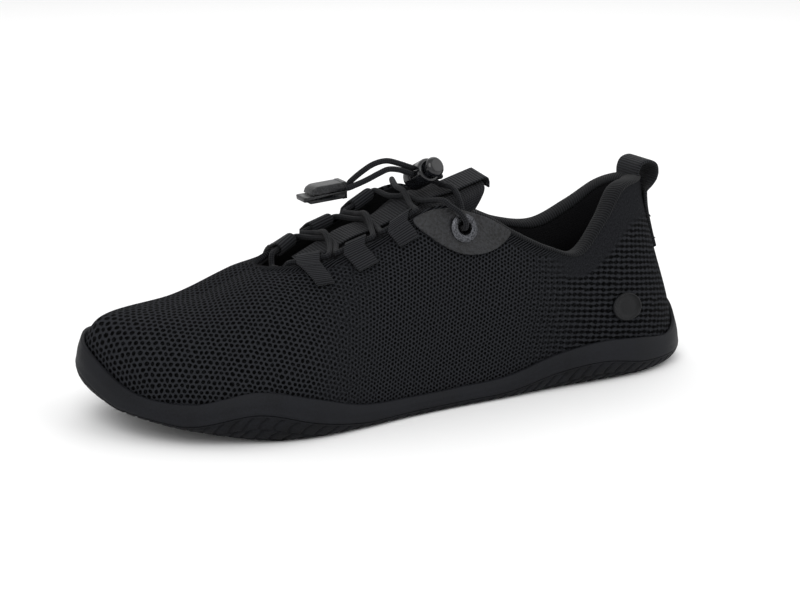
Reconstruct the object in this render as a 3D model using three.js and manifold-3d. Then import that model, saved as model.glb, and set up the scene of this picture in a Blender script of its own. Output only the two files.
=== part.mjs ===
// Low knitted running shoe, left foot, with elastic lacing and a cord lock.
// Millimetres. +X runs to the toe, +Y to the outer side of the foot, +Z up.
// The origin lies on the ground under the middle of the sole.
import * as THREE from "three";
import { mergeVertices } from "three/addons/utils/BufferGeometryUtils.js";
import Module from "manifold-3d";

const wasm = await Module();
wasm.setup();

// Driving sizes
const shoeLength = 285;
const shoeWidth = 104;
const topHeight = 87; // finished top edge at the back of the heel
const gap = 0.3; // clearance between pieces that touch on the real shoe

const treadPlate = 2.4;
const cupPlate = 2.5;
const strobelBoard = 0.8;
const soleWall = 3.8; // from the outline of the sole in to the knit
const cupWall = 1.5; // inner wall of the cup behind the tread flank
const lipThickness = 1.9;

const knitThickness = 1.8;
const liningThickness = 1.0;
const stiffenerThickness = 0.9;
const collarFoam = 5.5;
const insoleThickness = 3.6;
const tongueThickness = 4.5;
const bindingHeight = 2.6;

const laceDiameter = 2.5;
const loopWidth = 10;
const loopLength = 13;
const loopSkew = 0.75;
const webbing = 1.2;
const eyeletBore = 5.6;
const eyeletFlange = 12.6;
const patchThickness = 1.0;
const ribbonWidth = 15.5;
const ribbonThickness = 0.9;
const tabWidth = 18;
const tabThickness = 1.4;
const badgeWidth = 17;
const badgeHeight = 12;

const toggleDiameter = 11;
const toggleLength = 14;
const plungerDiameter = 7.6;
const plungerTravel = 2.4;
const clipLength = 20;
const clipWidth = 9.4;
const clipHeight = 7.5;

// The last: one line for each station, from the heel (first) to the toe (last).
// x and y of the sole's outline, height of the sole's lip, height of the parting line,
// how far the tread tucks in under the outline, x y z of the top line, lean of the wall
// at the top line in degrees.
const outerSide = [
  [-142.5, 0, 24.5, 6.5, 10, -121, 0, 87, 78],
  [-138, 14, 17.5, 6.5, 9, -113.5, 12, 87.5, 78],
  [-125.5, 26, 14.5, 6.5, 8.5, -101, 19, 85.5, 77],
  [-107, 33.3, 17, 7, 8, -89, 24, 73, 74],
  [-84, 36.4, 18.6, 10.4, 8, -75, 27, 60.5, 76],
  [-60, 37, 16, 8.7, 7.5, -59, 28, 64.5, 72],
  [-35, 37.6, 9.6, 3.6, 5, -42, 27.5, 72.8, 66],
  [-10, 39.2, 8.4, 3, 4, -26, 26, 82, 60],
  [14, 42.3, 8.4, 3, 4, -5, 22.5, 85.5, 50],
  [38, 47.4, 10, 3.2, 5, 20, 20, 73.5, 44],
  [62, 51.8, 16.7, 7.6, 7, 45, 17.5, 65.6, 38],
  [87, 49.3, 21.5, 13.8, 9, 66, -5, 62, 0],
  [112, 37.5, 17, 9, 11, 90, -9, 51, 0],
  [132, 17, 20, 10.5, 12, 114, -12, 47.5, 5],
  [142.5, -13, 33.5, 22, 16, 132.5, -13, 45.6, 12],
];
const innerSide = [
  [-138, -13, 17.5, 6.5, 9, -116, -9.5, 86, 78],
  [-126, -24.5, 15, 6.5, 8.5, -107.5, -16.5, 82, 77],
  [-107, -31.5, 17, 7, 8, -95.5, -22, 73, 75],
  [-84, -33, 19, 9, 8, -79, -26, 64.8, 76],
  [-60, -32, 19, 9, 7.5, -60, -27, 67.5, 72],
  [-35, -31.5, 18, 8, 6, -42.5, -26.5, 75, 66],
  [-10, -33.5, 17, 7, 6, -26, -26, 83, 60],
  [14, -38, 16.5, 6, 6, -5, -25.5, 86, 50],
  [38, -45.5, 16.5, 6.5, 6, 20, -24.5, 74.5, 44],
  [62, -51.3, 17, 7.5, 7, 45, -22.5, 66.2, 38],
  [86, -52, 19.5, 10, 9, 66, -5, 62, 0],
  [111, -49.5, 26, 15, 11, 90, -9, 51, 0],
  [134, -35, 35, 23, 14, 114, -12, 47.5, 5],
];
const lastStations = 14; // stations from heel to toe on each side
const throatStation = 11; // the bottom of the throat, where the vamp closes
const stepsPerStation = 2;
const ringCount = 2 * lastStations * stepsPerStation;
const lipRow = 2;
const topRow = 8;
const toeSpring = { from: 75, rise: 10, over: 62, power: 1.3 };

const ringTable = [...outerSide, ...innerSide.toReversed()];

const vec = (x, y, z) => new THREE.Vector3(x, y, z);
const up = vec(0, 0, 1);

function catmull(a, b, c, d, f) {
  const m0 = (c - a) / 2;
  const m1 = (d - b) / 2;
  const f2 = f * f;
  const f3 = f2 * f;
  return (2 * f3 - 3 * f2 + 1) * b + (f3 - 2 * f2 + f) * m0
    + (3 * f2 - 2 * f3) * c + (f3 - f2) * m1;
}

// A column of the table at ring position s, smooth right round the shoe.
function around(column, s) {
  const n = ringTable.length;
  const i = Math.floor(s);
  const at = (j) => ringTable[(j + 2 * n) % n][column];
  return catmull(at(i - 1), at(i), at(i + 1), at(i + 2), s - i);
}

// How far round from the heel, 0 to 14, whichever side s is on.
const fromHeel = (s) => Math.min(s, 2 * lastStations - s);

// A column of the top line: the collar and throat edge is one curve, the ridge another.
function topColumn(column, s) {
  const k = fromHeel(s);
  const outer = s <= lastStations;
  const onRidge = k >= throatStation;
  const i = Math.min(Math.floor(k), onRidge ? lastStations - 1 : throatStation - 1);
  const at = (j) => {
    const first = onRidge ? throatStation : -lastStations;
    const last = onRidge ? lastStations : throatStation;
    const m = Math.max(first, Math.min(last, j));
    const spare = j - m;
    const ring = (v) => ringTable[(outer ? v : 2 * lastStations - v + 2 * lastStations)
      % (2 * lastStations)][column];
    const wrapped = (v) => (v < 0 ? ringTable[outer ? 2 * lastStations + v : -v][column] : ring(v));
    if (spare === 0) return wrapped(m);
    if (!onRidge && column !== 6) return wrapped(m - spare); // the edge turns straight across the throat
    return 2 * wrapped(m) - wrapped(m - spare);
  };
  return catmull(at(i - 1), at(i), at(i + 1), at(i + 2), k - i);
}

// The table is drawn for this size and stretched to the driving sizes.
const drawn = { length: 285, width: 104, top: 87 };
const outlineSpan = (() => {
  const ys = [];
  const xs = [];
  for (let i = 0; i < ringCount; i++) {
    xs.push(around(0, i / stepsPerStation));
    ys.push(around(1, i / stepsPerStation));
  }
  return [Math.min(...xs), Math.max(...xs), Math.min(...ys), Math.max(...ys)];
})();
const fitX = (x) => (x - (outlineSpan[0] + outlineSpan[1]) / 2)
  * shoeLength / (outlineSpan[1] - outlineSpan[0]);
const fitY = (y) => (y - (outlineSpan[2] + outlineSpan[3]) / 2)
  * shoeWidth / (outlineSpan[3] - outlineSpan[2]);
const fitZ = (z) => z * topHeight / drawn.top;

function springAt(x) {
  const reach = Math.max(0, x * drawn.length / shoeLength - toeSpring.from) / toeSpring.over;
  return toeSpring.rise * reach ** toeSpring.power;
}

function outline(s) {
  return vec(fitX(around(0, s)), fitY(around(1, s)), 0);
}

function outward(s) {
  const t = outline(s + 0.02).sub(outline(s - 0.02));
  return vec(t.y, -t.x, 0).normalize().negate();
}

// The outside of the sole at ring position s: a quarter ellipse from the ground to the outline.
function hull(s) {
  const rim = outline(s);
  const out = outward(s);
  const tuck = around(4, s);
  const foot = springAt(rim.x);
  const part = Math.max(around(3, s), foot + treadPlate + 0.6);
  const wide = part + 1;
  const turn = Math.acos(1 - (part - foot) / (wide - foot));
  const at = (angle) => {
    const p = rim.clone().addScaledVector(out, -tuck + tuck * Math.sin(angle));
    const low = springAt(p.x);
    return p.setZ(low + (wide - low) * (1 - Math.cos(angle)));
  };
  const heightAt = (inset) => {
    const c = Math.max(0, 1 - inset / tuck);
    const p = rim.clone().addScaledVector(out, -inset);
    const low = springAt(p.x);
    return low + (wide - low) * (1 - Math.sqrt(1 - c * c));
  };
  return { rim, out, tuck, part, wide, turn, at, heightAt };
}

const baseStack = treadPlate + cupPlate + strobelBoard + 3 * gap;

// Feather line: where the knit stands on the strobel board.
function baseAt(s) {
  const h = hull(s);
  const p = h.rim.clone().addScaledVector(h.out, -soleWall);
  return p.setZ(h.heightAt(soleWall) + baseStack);
}

function topAt(s) {
  const x = topColumn(5, s);
  const y = topColumn(6, s);
  const z = topColumn(7, s);
  return vec(fitX(x), fitY(y), fitZ(z));
}

// The wall of the last at ring position s, a curve from the feather line to the top line.
function wallCurve(s) {
  const base = baseAt(s);
  const top = topAt(s);
  const lean = topColumn(8, s) * Math.PI / 180;
  const inwards = vec(top.x - base.x, top.y - base.y, 0);
  const reach = inwards.length();
  inwards.normalize();
  const rise = top.z - base.z;
  const end = inwards.clone().multiplyScalar(Math.cos(lean)).addScaledVector(up, Math.sin(lean));
  const pull = 0.55 * (reach * Math.cos(lean) + rise * Math.sin(lean));
  const full = THREE.MathUtils.smoothstep(fromHeel(s), 0, 4);
  const toeBox = THREE.MathUtils.smoothstep(fromHeel(s), 11.4, 13.4);
  const p1 = base.clone().addScaledVector(up, (0.33 + 0.17 * full + 0.45 * toeBox) * rise);
  const p2 = top.clone().addScaledVector(end, -pull);
  return new THREE.CubicBezierCurve3(base, p1, p2, top);
}

const wallCache = new Map();
// Points along the wall by true distance, 0 at the feather line to 1 at the top line.
function wallAt(s, v) {
  const key = s.toFixed(4);
  if (!wallCache.has(key)) {
    const curve = wallCurve(s);
    curve.arcLengthDivisions = 60;
    wallCache.set(key, { curve, length: curve.getLength() });
  }
  const wall = wallCache.get(key);
  if (v <= 1) return wall.curve.getPointAt(Math.max(0, v));
  const end = wall.curve.getTangentAt(1);
  return wall.curve.getPointAt(1).addScaledVector(end, (v - 1) * wall.length);
}
const wallLength = (s) => {
  wallAt(s, 0.5);
  return wallCache.get(s.toFixed(4)).length;
};

function lipShare(s) {
  const goal = Math.max(around(2, s), baseAt(s).z + 1.6);
  let low = 0;
  let high = 0.8;
  for (let i = 0; i < 30; i++) {
    const mid = (low + high) / 2;
    if (wallAt(s, mid).z < goal) low = mid;
    else high = mid;
  }
  return low;
}

// Round the ankle the shells stop short of the finished edge to leave room for the binding.
const bindingStart = 7.2; // stations from the heel
function topShare(s) {
  const k = fromHeel(s);
  const share = THREE.MathUtils.smoothstep(bindingStart + 0.6 - k, 0, 0.8);
  return 1 - share * bindingHeight / wallLength(s);
}

// Grid of the last: ringCount stations by topRow + 1 rows, with its normals.
const ringS = Array.from({ length: ringCount }, (_, i) => i / stepsPerStation);
const grid = ringS.map((s) => {
  const lip = lipShare(s);
  const top = topShare(s);
  return Array.from({ length: topRow + 1 }, (_, r) => {
    const v = r <= lipRow ? lip * r / lipRow : lip + (top - lip) * (r - lipRow) / (topRow - lipRow);
    return wallAt(s, v);
  });
});

const isVamp = (i) => fromHeel(ringS[i]) >= throatStation;
const twin = (i) => (ringCount - i) % ringCount;

const normals = (() => {
  const sum = grid.map((column) => column.map(() => vec(0, 0, 0)));
  for (let i = 0; i < ringCount; i++) {
    const j = (i + 1) % ringCount;
    for (let r = 0; r < topRow; r++) {
      const a = grid[i][r];
      const n = grid[j][r].clone().sub(a).cross(grid[i][r + 1].clone().sub(a));
      const m = grid[j][r].clone().sub(grid[j][r + 1]).cross(grid[i][r + 1].clone().sub(grid[j][r + 1]));
      n.add(m.negate());
      for (const [u, w] of [[i, r], [j, r], [i, r + 1], [j, r + 1]]) sum[u][w].add(n);
    }
  }
  for (let i = 0; i < ringCount; i++) {
    if (!isVamp(i) || twin(i) < i) continue;
    const both = sum[i][topRow].clone().add(sum[twin(i)][topRow]);
    sum[i][topRow].copy(both);
    sum[twin(i)][topRow].copy(both);
  }
  const flip = sum[0][4].x > 0 ? -1 : 1;
  return sum.map((column) => column.map((n) => n.normalize().multiplyScalar(flip)));
})();

const shellPoint = (i, r, offset) => grid[i][r].clone().addScaledVector(normals[i][r], offset);

// Geometry from lists of polygons given as corner points, wound facing out.
function surface(quads) {
  const position = [];
  for (const q of quads) {
    for (let k = 1; k + 1 < q.length; k++) {
      for (const p of [q[0], q[k], q[k + 1]]) position.push(p.x, p.y, p.z);
    }
  }
  const raw = new THREE.BufferGeometry();
  raw.setAttribute("position", new THREE.Float32BufferAttribute(position, 3));
  const merged = mergeVertices(raw, 2e-3);
  const index = merged.index.array;
  const kept = [];
  for (let k = 0; k < index.length; k += 3) {
    const [a, b, c] = [index[k], index[k + 1], index[k + 2]];
    if (a !== b && b !== c && c !== a) kept.push(a, b, c);
  }
  merged.setIndex(kept);
  return faceOut(merged);
}

function faceOut(geometry) {
  const p = geometry.attributes.position;
  const index = geometry.index.array;
  const [a, b, c] = [vec(0, 0, 0), vec(0, 0, 0), vec(0, 0, 0)];
  let volume = 0;
  for (let k = 0; k < index.length; k += 3) {
    a.fromBufferAttribute(p, index[k]);
    b.fromBufferAttribute(p, index[k + 1]);
    c.fromBufferAttribute(p, index[k + 2]);
    volume += a.dot(b.cross(c));
  }
  if (volume < 0) {
    const turned = Array.from(index);
    for (let k = 0; k < turned.length; k += 3) [turned[k], turned[k + 1]] = [turned[k + 1], turned[k]];
    geometry.setIndex(turned);
  }
  return geometry;
}

// Closed sections joined station to station; open runs get end caps. From row flip on, each
// four-sided face is split along its other diagonal, so that stacked plates stay parallel.
function loft(sections, { closed = false, loop = true, flip = Infinity } = {}) {
  const quads = [];
  const count = sections.length;
  const points = sections[0].length;
  const steps = closed ? count : count - 1;
  for (let i = 0; i < steps; i++) {
    const a = sections[i];
    const b = sections[(i + 1) % count];
    for (let r = 0; r < (loop ? points : points - 1); r++) {
      const q = (r + 1) % points;
      quads.push(r >= flip ? [b[r], b[q], a[q], a[r]] : [a[r], b[r], b[q], a[q]]);
    }
  }
  if (!closed) {
    quads.push(sections[0].slice());
    quads.push(sections[count - 1].toReversed());
  }
  return surface(quads);
}

// A shell of the last between two offsets, over a run of ring stations and rows.
function shell({ from, to, low = 0, high = topRow, outer, inner }) {
  const closed = to - from === ringCount;
  const run = [];
  for (let i = from; i < to + (closed ? 0 : 1); i++) run.push((i + ringCount) % ringCount);
  const quads = [];
  const outerAt = (i, r) => shellPoint(i, r, outer(i, r));
  const innerAt = (i, r) => shellPoint(i, r, inner(i, r));
  const steps = closed ? run.length : run.length - 1;
  for (let n = 0; n < steps; n++) {
    const i = run[n];
    const j = run[(n + 1) % run.length];
    for (let r = low; r < high; r++) {
      quads.push([outerAt(i, r), outerAt(j, r), outerAt(j, r + 1), outerAt(i, r + 1)]);
      quads.push([innerAt(i, r), innerAt(i, r + 1), innerAt(j, r + 1), innerAt(j, r)]);
    }
    quads.push([outerAt(i, low), innerAt(i, low), innerAt(j, low), outerAt(j, low)]);
    const ridge = high === topRow && isVamp(i) && isVamp(j);
    if (!ridge) quads.push([outerAt(i, high), outerAt(j, high), innerAt(j, high), innerAt(i, high)]);
  }
  if (!closed) {
    const [i, j] = [run[0], run[run.length - 1]];
    for (let r = low; r < high; r++) {
      quads.push([outerAt(i, r), outerAt(i, r + 1), innerAt(i, r + 1), innerAt(i, r)]);
      quads.push([outerAt(j, r), innerAt(j, r), innerAt(j, r + 1), outerAt(j, r + 1)]);
    }
  }
  return surface(quads);
}

function solid(geometry) {
  const bare = geometry.clone();
  bare.deleteAttribute("normal");
  bare.deleteAttribute("uv");
  const merged = mergeVertices(bare, 1e-4);
  return new wasm.Manifold(new wasm.Mesh({
    numProp: 3,
    vertProperties: merged.attributes.position.array,
    triVerts: new Uint32Array(merged.index.array),
  }));
}

function fromSolid(body) {
  const mesh = body.getMesh();
  const position = new Float32Array(mesh.numVert * 3);
  for (let i = 0; i < mesh.numVert; i++) {
    position.set(mesh.vertProperties.subarray(i * mesh.numProp, i * mesh.numProp + 3), 3 * i);
  }
  const geometry = new THREE.BufferGeometry();
  geometry.setAttribute("position", new THREE.BufferAttribute(position, 3));
  geometry.setIndex(Array.from(mesh.triVerts));
  return geometry;
}

const cut = (geometry, ...tools) => fromSolid(
  tools.reduce((body, tool) => body.subtract(solid(tool)), solid(geometry)),
);

const material = (color, roughness, metalness = 0) => new THREE.MeshStandardMaterial({
  color, roughness, metalness,
});
const looks = {
  knit: material(0x141415, 0.95),
  lining: material(0x101012, 0.9),
  foam: material(0x1c1c1e, 0.95),
  board: material(0x2a2a2c, 0.95),
  rubber: material(0x202327, 0.75),
  sidewall: material(0x24272c, 0.7),
  webbing: material(0x121213, 0.85),
  patch: material(0x2b2c30, 0.5),
  metal: material(0x1c1c1e, 0.3, 0.9),
  cord: material(0x0e0e0f, 0.9),
  plastic: material(0x0d0d0f, 0.25),
  clip: material(0x1a1b1d, 0.5),
  spring: material(0x8a8d90, 0.3, 1),
};

const shoe = new THREE.Group();
function add(name, geometry, look, place) {
  const mesh = new THREE.Mesh(geometry, look);
  mesh.name = name;
  if (place) mesh.applyMatrix4(place);
  shoe.add(mesh);
  return mesh;
}

// Frame on the wall of the last: a mm along the edge towards the toe, d mm down from the
// finished edge, h mm out from the knit.
function onWall(s, side, a, d, h) {
  const ring = (k) => (side > 0 ? k : 2 * lastStations - k);
  const edgeStep = 0.02;
  const pace = topAt(ring(s + edgeStep)).distanceTo(topAt(ring(s - edgeStep))) / (2 * edgeStep);
  const k = s + a / pace;
  const at = (kk, dd) => wallAt(ring(kk), 1 - dd / wallLength(ring(kk)));
  const p = at(k, d);
  const along = at(k + 0.03, d).sub(at(k - 0.03, d));
  const down = at(k, d + 0.3).sub(at(k, d - 0.3));
  const n = along.cross(down).normalize();
  if (side < 0) n.negate();
  if (n.dot(vec(0, side, 0.6)) < 0) n.negate();
  return p.addScaledVector(n, h);
}

// Layers inside the knit, as depths below its outside.
const smooth = THREE.MathUtils.smoothstep;
function foamAt(i, r) {
  const k = fromHeel(ringS[i]);
  return collarFoam * smooth(6.2 - k, 0, 2.6) * smooth(r, 4.2, 6.8);
}
function stiffenerAt(i, r) {
  const k = fromHeel(ringS[i]);
  const heel = smooth(4.6 - k, 0, 0.8) * smooth(5.6 - r, 0, 1);
  const toe = smooth(k, 11.4, 12.2) * smooth(7.6 - r, 0, 1.4);
  return (stiffenerThickness + gap) * Math.max(heel, toe);
}
const knitInside = knitThickness;
const toeRoom = (i) => 0.25 * smooth(fromHeel(ringS[i]), 12.2, 13);
const liningOutside = (i, r) => knitInside + gap + toeRoom(i) + stiffenerAt(i, r)
  + foamAt(i, r) + gap * smooth(foamAt(i, r), 0, 0.6);
const liningInside = (i, r) => liningOutside(i, r) + liningThickness;

// Sole plates: from the middle line out to the ring, dished with the hull.
const middleX = (k) => fitX(-112 + 209 * k / lastStations);
function middleAt(s) {
  const k = fromHeel(s);
  const x = middleX(k);
  const outer = outline(k);
  const inner = outline((2 * lastStations - k) % (2 * lastStations));
  const y = k === 0 || k === lastStations ? outer.y : (outer.y + inner.y) / 2;
  return vec(x, y * 0.8, 0);
}
function plate(s, edge, share, height) {
  const middle = middleAt(s);
  const p = middle.clone().lerp(edge, share);
  const lift = edge.z - springAt(edge.x);
  return p.setZ(springAt(p.x) + height + lift * share ** 3);
}
const plateShares = [0, 0.45, 0.8];

function solePieces() {
  const tread = [];
  const cup = [];
  const board = [];
  const inside = [];
  for (let i = 0; i < ringCount; i++) {
    const s = ringS[i];
    const h = hull(s);
    const inward = (inset) => h.rim.clone().addScaledVector(h.out, -inset);
    const ring = inward(soleWall);
    ring.z = h.heightAt(soleWall);
    const flankInset = soleWall - cupWall - gap;
    const shelf = h.part - gap / 2;
    const cornerZ = Math.min(shelf - 0.3, Math.max(ring.z + treadPlate, h.heightAt(flankInset) + 1.4));
    const row = (height) => plateShares.map((share) => plate(s, ring, share, height));
    const ringUp = (height) => ring.clone().setZ(ring.z + height);
    const fan = [0.75, 0.5, 0.25, 0].map((f) => h.at(h.turn * f));
    const partEdge = h.at(h.turn).setZ(shelf);
    tread.push([
      ...row(treadPlate), ringUp(treadPlate),
      inward(flankInset).setZ(cornerZ), inward(flankInset).setZ(shelf),
      partEdge, ...fan, middleAt(s).setZ(springAt(middleAt(s).x)),
    ]);
    const floor = treadPlate + cupPlate + gap;
    const lipOut = shellPoint(i, lipRow, gap + lipThickness);
    const widest = h.rim.clone().setZ(h.wide + 0.3);
    const shoulder = widest.clone().lerp(lipOut, 0.55).addScaledVector(h.out, 0.35);
    const inner = [];
    for (let r = 0; r <= lipRow; r++) inner.push(shellPoint(i, r, gap));
    cup.push([
      ...row(floor), ring.clone().addScaledVector(h.out, gap + 0.1).setZ(ring.z + floor),
      ...inner,
      shellPoint(i, lipRow, gap + lipThickness * 0.6).addScaledVector(up, 0.7),
      lipOut, shoulder, widest, h.at(h.turn).setZ(h.part + gap / 2),
      inward(flankInset + gap).setZ(h.part + gap / 2),
      inward(flankInset + gap).setZ(Math.min(h.part, cornerZ + gap + 0.15)),
      ringUp(treadPlate + gap), ...row(treadPlate + gap).toReversed(),
    ]);
    const boardEdge = ring.clone();
    board.push([
      ...row(floor + gap + strobelBoard), boardEdge.clone().setZ(ring.z + floor + gap + strobelBoard),
      boardEdge.clone().setZ(ring.z + floor + gap), ...row(floor + gap).toReversed(),
    ]);
    const depth = liningInside(i, 1) + 0.8;
    const edge = inward(soleWall + depth);
    edge.z = ring.z;
    const low = baseStack + 0.1;
    const share = (f, height) => {
      const p = middleAt(s).lerp(edge, f);
      const reach = f * edge.distanceTo(middleAt(s).setZ(edge.z)) / ring.distanceTo(middleAt(s).setZ(ring.z));
      return p.setZ(springAt(p.x) + height + (ring.z - springAt(ring.x)) * reach ** 3 + 0.12);
    };
    inside.push([
      ...[0, 0.45, 0.8, 1].map((f) => share(f, low + insoleThickness)),
      ...[1, 0.8, 0.45, 0].map((f) => share(f, low)),
    ]);
  }
  const options = { closed: true, loop: false };
  add("outsole_tread", loft(tread, options), looks.rubber);
  add("midsole_cup", loft(cup, { ...options, flip: cup[0].length - 4 }), looks.sidewall);
  add("strobel_board", loft(board, { ...options, flip: 4 }), looks.board);
  add("insole", loft(inside, { ...options, flip: 4 }), looks.foam);
}

const eyeletStation = 7.3;
const eyeletDrop = 9;
const patchHeight = 0.55;
const eyeletFlat = 0.8; // a flat washer stands off the curved lining by this
const washerThickness = 0.6;

function eyeletFrame(side) {
  const centre = onWall(eyeletStation, side, 0, eyeletDrop, 0);
  const n = onWall(eyeletStation, side, 0, eyeletDrop, 1).sub(centre).normalize();
  const x = vec(1, 0, 0).addScaledVector(n, -n.x).normalize();
  const y = n.clone().cross(x);
  return new THREE.Matrix4().makeBasis(x, y, n).setPosition(centre);
}

function punch(side) {
  const tool = new THREE.CylinderGeometry(eyeletBore / 2 + 1.1 + gap, eyeletBore / 2 + 1.1 + gap, 16, 14);
  return tool.rotateX(Math.PI / 2).applyMatrix4(eyeletFrame(side));
}

function upperPieces() {
  const whole = { from: 0, to: ringCount };
  const knit = shell({ ...whole, outer: () => 0, inner: () => -knitInside });
  const lining = shell({
    ...whole,
    outer: (i, r) => -liningOutside(i, r),
    inner: (i, r) => -liningInside(i, r),
  });
  add("knit_upper", cut(knit, punch(1), punch(-1)), looks.knit);
  add("knit_lining", cut(lining, punch(1), punch(-1)), looks.lining);
  const stiff = {
    low: 0,
    outer: () => -knitInside - gap,
    inner: (i, r) => -knitInside - Math.max(0.2 + gap, stiffenerAt(i, r)),
  };
  const heelEnd = 4 * stepsPerStation;
  add("heel_counter", shell({ ...stiff, from: -heelEnd, to: heelEnd, high: 5 }), looks.board);
  const toe = lastStations * stepsPerStation;
  const toeEnd = 2 * stepsPerStation;
  add("toe_puff", shell({ ...stiff, from: toe - toeEnd, to: toe + toeEnd, high: 4 }), looks.board);
  const foamEnd = 5 * stepsPerStation;
  add("collar_foam", shell({
    from: -foamEnd,
    to: foamEnd,
    low: 5,
    high: topRow,
    outer: (i, r) => -knitInside - gap - stiffenerAt(i, r),
    inner: (i, r) => -knitInside - gap - stiffenerAt(i, r) - Math.max(0.25, foamAt(i, r)),
  }), looks.foam);
  const bindEnd = Math.round(bindingStart * stepsPerStation);
  const sections = [];
  for (let n = -bindEnd; n <= bindEnd; n++) {
    const i = (n + ringCount) % ringCount;
    const s = ringS[i];
    const rise = wallAt(s, 1).sub(wallAt(s, topShare(s))).normalize();
    const wide = liningInside(i, topRow);
    const at = (depth, height) => shellPoint(i, topRow, -depth).addScaledVector(rise, height);
    sections.push([
      at(0, gap + 0.2), at(-0.2, bindingHeight * 0.55), at(wide * 0.25, bindingHeight),
      at(wide * 0.75, bindingHeight), at(wide + 0.2, bindingHeight * 0.5), at(wide, gap + 0.2),
    ]);
  }
  add("collar_binding", loft(sections), looks.knit);
}

// The tongue lies under the lining and crowns up through the throat.
const tongueDrop = 8.4; // from the outside of the knit down to the tongue
const tongueStations = [7.5, 8, 8.5, 9, 9.5, 10, 10.5, 11, 11.5];
const tongueLean = 19; // how far the free end stands up past the throat

function tongueRow(k, depth) {
  const side = (sign) => {
    const i = (sign > 0 ? k : 2 * lastStations - k) * stepsPerStation;
    return { edge: shellPoint(i, topRow, -depth), under: shellPoint(i, topRow - 1, -depth) };
  };
  const a = side(1);
  const b = side(-1);
  if (k >= throatStation) {
    const mix = (p, q, f) => p.clone().lerp(q, f);
    return [a.under, mix(a.under, a.edge, 0.35), mix(a.under, a.edge, 0.7), a.edge,
      mix(b.under, b.edge, 0.7), mix(b.under, b.edge, 0.35), b.under];
  }
  const width = a.edge.distanceTo(b.edge);
  const crown = width * (0.62 + 0.38 * THREE.MathUtils.smoothstep(k, 7.8, 9.5) + 0.34 * THREE.MathUtils.smoothstep(k, 8.5, 9.6));
  const ta = a.edge.clone().sub(a.under).normalize().multiplyScalar(crown);
  const tb = b.under.clone().sub(b.edge).normalize().multiplyScalar(crown);
  const bridge = (f) => {
    const f2 = f * f;
    const f3 = f2 * f;
    return a.edge.clone().multiplyScalar(2 * f3 - 3 * f2 + 1)
      .addScaledVector(ta, f3 - 2 * f2 + f)
      .addScaledVector(b.edge, 3 * f2 - 2 * f3)
      .addScaledVector(tb, f3 - f2);
  };
  return [a.under, a.edge, bridge(0.25), bridge(0.5), bridge(0.75), b.edge, b.under];
}

// Rows from the free end to the front end, top face or bottom face.
function tongueRows(depth) {
  const first = tongueRow(tongueStations[0], depth);
  const second = tongueRow(tongueStations[1], depth);
  const grow = first[3].clone().sub(second[3]).normalize().addScaledVector(up, 0.22);
  const free = [1, 0.5].map((f) => first.map((p, j) => {
    const across = Math.abs(j - 3) / 3;
    const reach = tongueLean * f * (1 - 0.25 * across ** 2);
    return p.clone().addScaledVector(grow, reach).lerp(first[3].clone()
      .addScaledVector(grow, reach), 0.18 * f).addScaledVector(up, -0.8 * f * f * across);
  }));
  return [...free, ...tongueStations.map((k) => tongueRow(k, depth))];
}

function tongue() {
  const top = tongueRows(tongueDrop);
  const bottom = tongueRows(tongueDrop + tongueThickness);
  const sections = top.map((row, i) => [...row, ...bottom[i].toReversed()]);
  add("tongue", loft(sections), looks.knit);
}

// A point on the tongue's upper face: row from 0 at the free end, across from -1 (outer) to 1.
const tongueTop = tongueRows(tongueDrop);
function onTongue(row, across, h) {
  const at = (rr, cc) => {
    const r = Math.max(0, Math.min(tongueTop.length - 1.001, rr));
    const c = Math.max(0, Math.min(5.999, cc));
    const [i, j] = [Math.floor(r), Math.floor(c)];
    const one = tongueTop[i][j].clone().lerp(tongueTop[i][j + 1], c - j);
    const two = tongueTop[i + 1][j].clone().lerp(tongueTop[i + 1][j + 1], c - j);
    return one.lerp(two, r - i);
  };
  const column = 3 + 1.5 * across;
  const p = at(row, column);
  const along = at(row + 0.5, column).sub(at(row - 0.5, column));
  const over = at(row, column + 0.6).sub(at(row, column - 0.6));
  const n = along.cross(over).normalize();
  if (n.z < 0) n.negate();
  return p.addScaledVector(n, h);
}

const ribbonRise = 0.75;
function tongueRibbon() {
  const sections = [];
  const lastRow = 8.4;
  const steps = 16;
  for (let n = 0; n <= steps; n++) {
    const row = -0.3 + (lastRow + 0.3) * n / steps;
    const middle = onTongue(row, 0, 0);
    const side = onTongue(row, -0.5, 0);
    const other = onTongue(row, 0.5, 0);
    const half = ribbonWidth / 2;
    const toA = side.sub(middle);
    const toB = other.sub(middle);
    const a = half / toA.length() * 0.5;
    const b = half / toB.length() * 0.5;
    const rise = ribbonRise;
    const low = [onTongue(row, -a, rise), onTongue(row, 0, rise), onTongue(row, b, rise)];
    const high = [onTongue(row, b, rise + ribbonThickness), onTongue(row, 0, rise + ribbonThickness),
      onTongue(row, -a, rise + ribbonThickness)];
    sections.push([...low, ...high]);
  }
  add("tongue_ribbon", loft(sections), looks.webbing);
}

// Lace loops: a strap lying on the knit that ends in a round eye past the throat edge.
const loopStations = [10.18, 9.45, 8.66];
const loopRise = 1.15;
const eyePast = 3.7;
const eyeInner = laceDiameter / 2 + 0.98;
const eyeOuter = eyeInner + 0.85;
const eyeDrop = eyeOuter - loopRise - webbing;

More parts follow.
